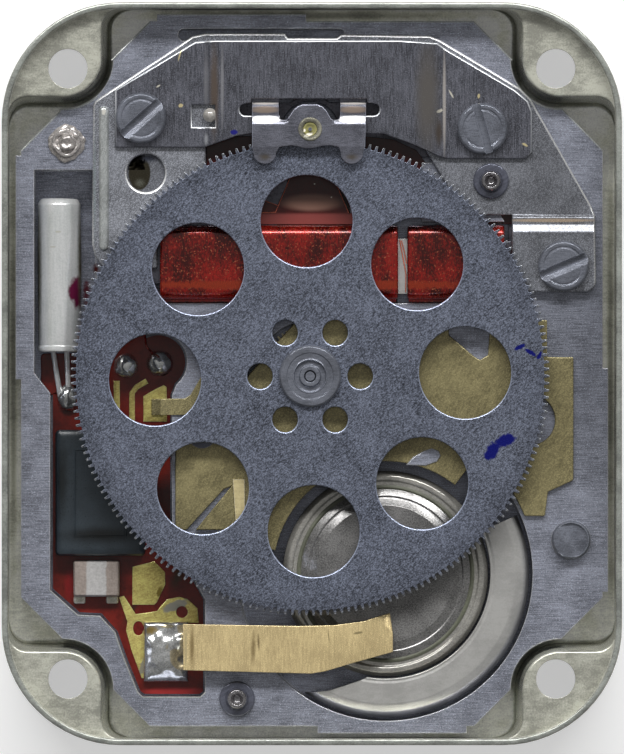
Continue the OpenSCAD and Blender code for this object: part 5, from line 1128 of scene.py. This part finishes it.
rounded_box("package", -14.47, -9.4, -10.27, -3.17,
            [(0, BOARD_Z), (0, 4.16), (0.03, 4.3), (0.1, 4.42), (0.24, 4.49), (0.4, 4.5), (1.04, 4.5), (1.08, 4.54),
             (1.13, 4.54), (1.17, 4.49), (1.3, 4.485)], 0.25, "ic_resin", node="ic_package")
rounded_box("capacitor_body", -13.46, -10.86, -12.58, -10.55,
            [(0.04, BOARD_Z), (0, 3.2), (0, 3.84), (0.03, 3.93), (0.1, 3.99), (0.2, 4.0)], 0.14,
            "capacitor_ceramic", node="chip_capacitor")
for side, (x0, x1) in enumerate(((-13.46, -12.78), (-11.62, -10.94))):
    rounded_box("capacitor_foot_%d" % side, x0, x1, -13.0, -12.5,
                [(0, BOARD_Z), (0, 3.4), (0.05, 3.48), (0.14, 3.5)], 0.12, "tin")
blob("lead_solder", (-13.78, -1.35, 3.2), (0.58, 0.8, 0.66), 0.12, 4)
blob("west_solder", (-10.5, 0.45, 3.1), (0.68, 0.7, 0.62), 0.10, 2)
blob("east_solder", (-8.58, 0.59, 3.1), (0.74, 0.72, 0.66), 0.10, 7)


def make_coil_lead():
    """The thin enamelled wire from the coil down to the east solder joint."""
    plan = rounded([(-9.45, 2.3), (-9.35, 1.5), (-8.95, 1.15), (-8.6, 0.95)], 0.5, 8)
    heights = [3.16 + 0.62 * (k / (len(plan) - 1)) ** 1.5 for k in range(len(plan))]
    wires("coil_lead", [[(x, y, z) for (x, y), z in zip(plan, heights)]], 0.05, "coil_enamel")


make_coil_lead()


def make_terminal():
    """The tinned block: a box drowned in solder, with lumps round the strip's leg."""
    bm = bmesh.new()
    x0, x1, y0, y1, z0, z1 = -9.5, -6.98, -17.4, -14.0, BOARD_Z, 3.76
    bumps = [(-7.64, -14.1, 0.36, 0.34), (-7.42, -15.1, 0.42, 0.3), (-8.2, -16.2, 0.85, 0.3),
             (-8.5, -15.2, 0.5, 0.12), (-7.35, -16.1, 0.35, -0.28), (-9.0, -14.5, 0.4, -0.1)]
    nx, ny = 44, 56
    rows = []
    for j in range(ny + 1):
        row = []
        for i in range(nx + 1):
            x, y = x0 + (x1 - x0) * i / nx, y0 + (y1 - y0) * j / ny
            edge = min(x - x0, x1 - x, y - y0, y1 - y)
            z = z1 - 0.25 * math.exp(-edge * 7) + 0.05 * noise.noise(Vector((x, y, 0)) * 2.2)
            for bx, by, r, h in bumps:
                z += h * math.exp(-((x - bx) ** 2 + (y - by) ** 2) / (r * r))
            row.append((x, y, z if edge > 1e-6 else z1 - 0.32))
        rows.append(row)
    loft(bm, rows, wrap=False)
    skirt = rows[0] + [r[-1] for r in rows[1:]] + rows[-1][-2::-1] + [r[0] for r in rows[-2:0:-1]]
    loft(bm, [skirt, [(x, y, z0) for x, y, z in skirt]])
    build("tinned_block", bm, "solder", node="contact_terminal", slot="tin", angle=70)


make_terminal()

rounded_box("board_tongue", -15.3, -12.3, -1.2, 1.15, [(0, 2.82), (0, 3.05), (0.05, 3.1)], 0.2, "board")

FILM_Z, FILM_T, TAPE_Z, SKIRT_Z, SPLIT_Z, WIRE_Z = 5.08, 0.06, 5.2, 5.05, 5.75, 5.8
FILM_LINES = [[(-3.4, 9.07), (-2.05, 9.1), (-1.29, 10.92), (-0.95, 11.75)],
              [(-3.2, 9.86), (-2.6, 9.73), (-1.95, 9.5)], [(2.07, 9.07), (1.46, 10.5), (0.95, 11.7)]]
formed("film_flap", None, FILM_Z, FILM_T, "film", [
    [(-3.4, 8.42), (-3.4, 9.9), (-2.6, 9.74), (-1.95, 9.5), (-1.29, 10.92), (-0.95, 11.75), (0.95, 11.75),
     (1.46, 10.5), (2.07, 9.07), (3.5, 9.0), (3.5, 8.42)]], edge=0.02)
wires("film_edges", [[(x, y, FILM_Z + 0.005) for x, y in line] for line in FILM_LINES], 0.022, "film_edge",
      slot="film")
# Dark red film sheets laid into the gaps beside the motor: partly the film seen there, partly dark fill for the shade
# in those gaps.
for place, line in enumerate(([(-5.94, 13.4), (-5.94, 11.2), (-3.0, 11.2), (-3.0, 13.4)],
                              [(2.9, 13.4), (4.6, 13.2), (5.9, 12.6), (6.4, 11.9), (6.1, 11.4), (2.9, 11.8)],
                              [(9.2, 9.0), (11.3, 9.0), (11.3, 8.45), (9.2, 8.45)])):
    formed("motor_tape_shade_%d" % place, None, TAPE_Z, FILM_T, "film", [line], edge=0.02)
# Thin sheets in the coil's enamel along its south edge, which carry the enamel's painted bright red band: painted
# light where the coil's south side lies in shade.
for place, (west, east) in enumerate(((-8.4, 4.75), (5.45, 10.75))):
    formed("film_skirt_%d" % place, None, SKIRT_Z, 0.05, "coil_enamel",
           [[(west, 4.02), (east, 4.02), (east, 4.34), (west, 4.34)]], edge=0.02)
formed("split_tape", None, SPLIT_Z, 0.05, "strap_steel", [[(4.85, 4.5), (4.85, 7.6), (5.38, 7.6), (5.38, 4.5)]],
       edge=0.02, slot="cell_steel")
wires("split_wires", [[(4.95, 7.55, WIRE_Z), (5.12, 6.6, 5.82), (5.3, 5.6, WIRE_Z), (5.28, 4.6, 5.78)],
                      [(5.05, 7.5, WIRE_Z), (5.2, 6.9, WIRE_Z), (5.34, 6.2, WIRE_Z)]], 0.03, "film_edge", slot="film")

# Thin beads along the plate's north-facing top edges, in a lighter metal than the plate: rounded edges whose lighter
# colour is a painted highlight.
EDGE_Z, EDGE_R = 5.47, 0.05
EDGE_LINES = [
    [(-16.36, 12.58), (-14.2, 14.74)] + arc(-14.0, 17.75, 2.86, 266, 312, 8),
    [(-11.28, 17.66), (-9.12, 19.82)], [(-8.7, 20.23), (-0.36, 20.23)],
    [(-0.3, 19.83), (9.1, 19.83), (11.28, 17.66)], arc(14.0, 17.75, 2.86, 225, 272, 8) + [(16.36, 12.58)],
    [(-14.8, -12.2), (-13.2, -13.64), (-11.96, -13.7), (-11.14, -14.58), (-10.58, -16.15), (-9.84, -17.96),
     (-9.54, -18.25), (-6.28, -18.25), (-5.98, -17.95)]]
wires("plate_edges", [[(x, y, EDGE_Z) for x, y in line] for line in EDGE_LINES], EDGE_R, "rib_nickel",
      slot="frame_nickel")

# The seconds wheel: fine teeth at the rim, eight round windows and the holes round the hub.
TEETH, MODULE, WHEEL_TOP, WHEEL_T, WINDOW_TURN = 210, 0.1281, 6.85, 0.25, 91.3
WINDOW_AT, WINDOW_R, VENT_AT, VENT_R, COLLAR_R = 8.73, 2.59, 2.82, 0.72, 0.9


def make_wheel():
    """The wheel's disc: each tooth is given by radii in modules and by shares of the pitch."""
    pitch = 360 / TEETH
    tooth = ((102.9, -0.25), (105.0, -0.16), (105.23, -0.12), (105.23, 0.12), (105.0, 0.16), (102.9, 0.25))
    rim = []
    for i in range(TEETH):
        for r, share in tooth:
            a = math.radians(90 + pitch * (0.5 + i + share))
            rim.append((WHEEL[0] + MODULE * r * math.cos(a), WHEEL[1] + MODULE * r * math.sin(a)))
    holes = [spot(*WHEEL, COLLAR_R, 48)]
    for count, first, at, r, steps in ((8, WINDOW_TURN, WINDOW_AT, WINDOW_R, 96), (6, 0, VENT_AT, VENT_R, 40)):
        for k in range(count):
            a = math.radians(first + 360 / count * k)
            holes.append(spot(WHEEL[0] + at * math.cos(a), WHEEL[1] + at * math.sin(a), r, steps))
    formed("wheel_disc", "seconds_wheel", WHEEL_TOP, WHEEL_T, "wheel_metal", [rim] + holes, edge=0.025,
           hole_edge=0.07, rim_light=0.45, body="seconds")


make_wheel()


def stage_plane():
    """White floor that keeps the object's shadow."""
    half_side, drop = 3.0, 0.02 * MM
    mesh = bpy.data.meshes.new("floor")
    mesh.from_pydata([(x * half_side, y * half_side, 0) for x, y in ((-1, -1), (1, -1), (1, 1), (-1, 1))], [],
                     [(0, 1, 2, 3)])
    floor = bpy.data.objects.new("floor", mesh)
    bpy.context.collection.objects.link(floor)
    floor.location.z = -drop
    net = Net("floor")
    path = net.node("LightPath")
    seen = net.math("MAXIMUM", path.outputs["Is Camera Ray"], path.outputs["Is Transmission Ray"])
    fine = net.noise(6.0, 0, 2.0)
    paper = net.mix(fine, (0.60, 0.60, 0.60), (0.62, 0.62, 0.62))
    net.finish(paper, 0.9, 0.0, Specular_IOR_Level=0.1, Emission_Color=(1, 1, 1, 1))
    net.put(net.shader.inputs["Emission Strength"], net.math("MULTIPLY", seen, 0.5))
    floor.data.materials.append(net.mat)


stage_plane()


def sky():
    """Soft white studio: brighter overhead and to the north, plain white behind the object."""
    world = bpy.data.worlds.new("studio")
    bpy.context.scene.world = world
    world.use_nodes = True
    net = Tree(world.node_tree)
    split = net.node("SeparateXYZ", Vector=net.node("TexCoord").outputs["Generated"])
    high = net.ramp(split.outputs["Z"], -0.1, 0.95, 0.04, 0.30)
    north = net.ramp(split.outputs["Y"], -0.8, 0.8, 0.3, 1.9, "LINEAR")
    camera_ray = net.node("LightPath").outputs["Is Camera Ray"]
    strength = net.ramp(camera_ray, 0.0, 1.0, net.math("MULTIPLY", high, north), 1.0, "LINEAR")
    back, out = net.node("Background", Strength=strength), net.node("OutputWorld")
    net.put(out.inputs[0], back.outputs[0])


sky()
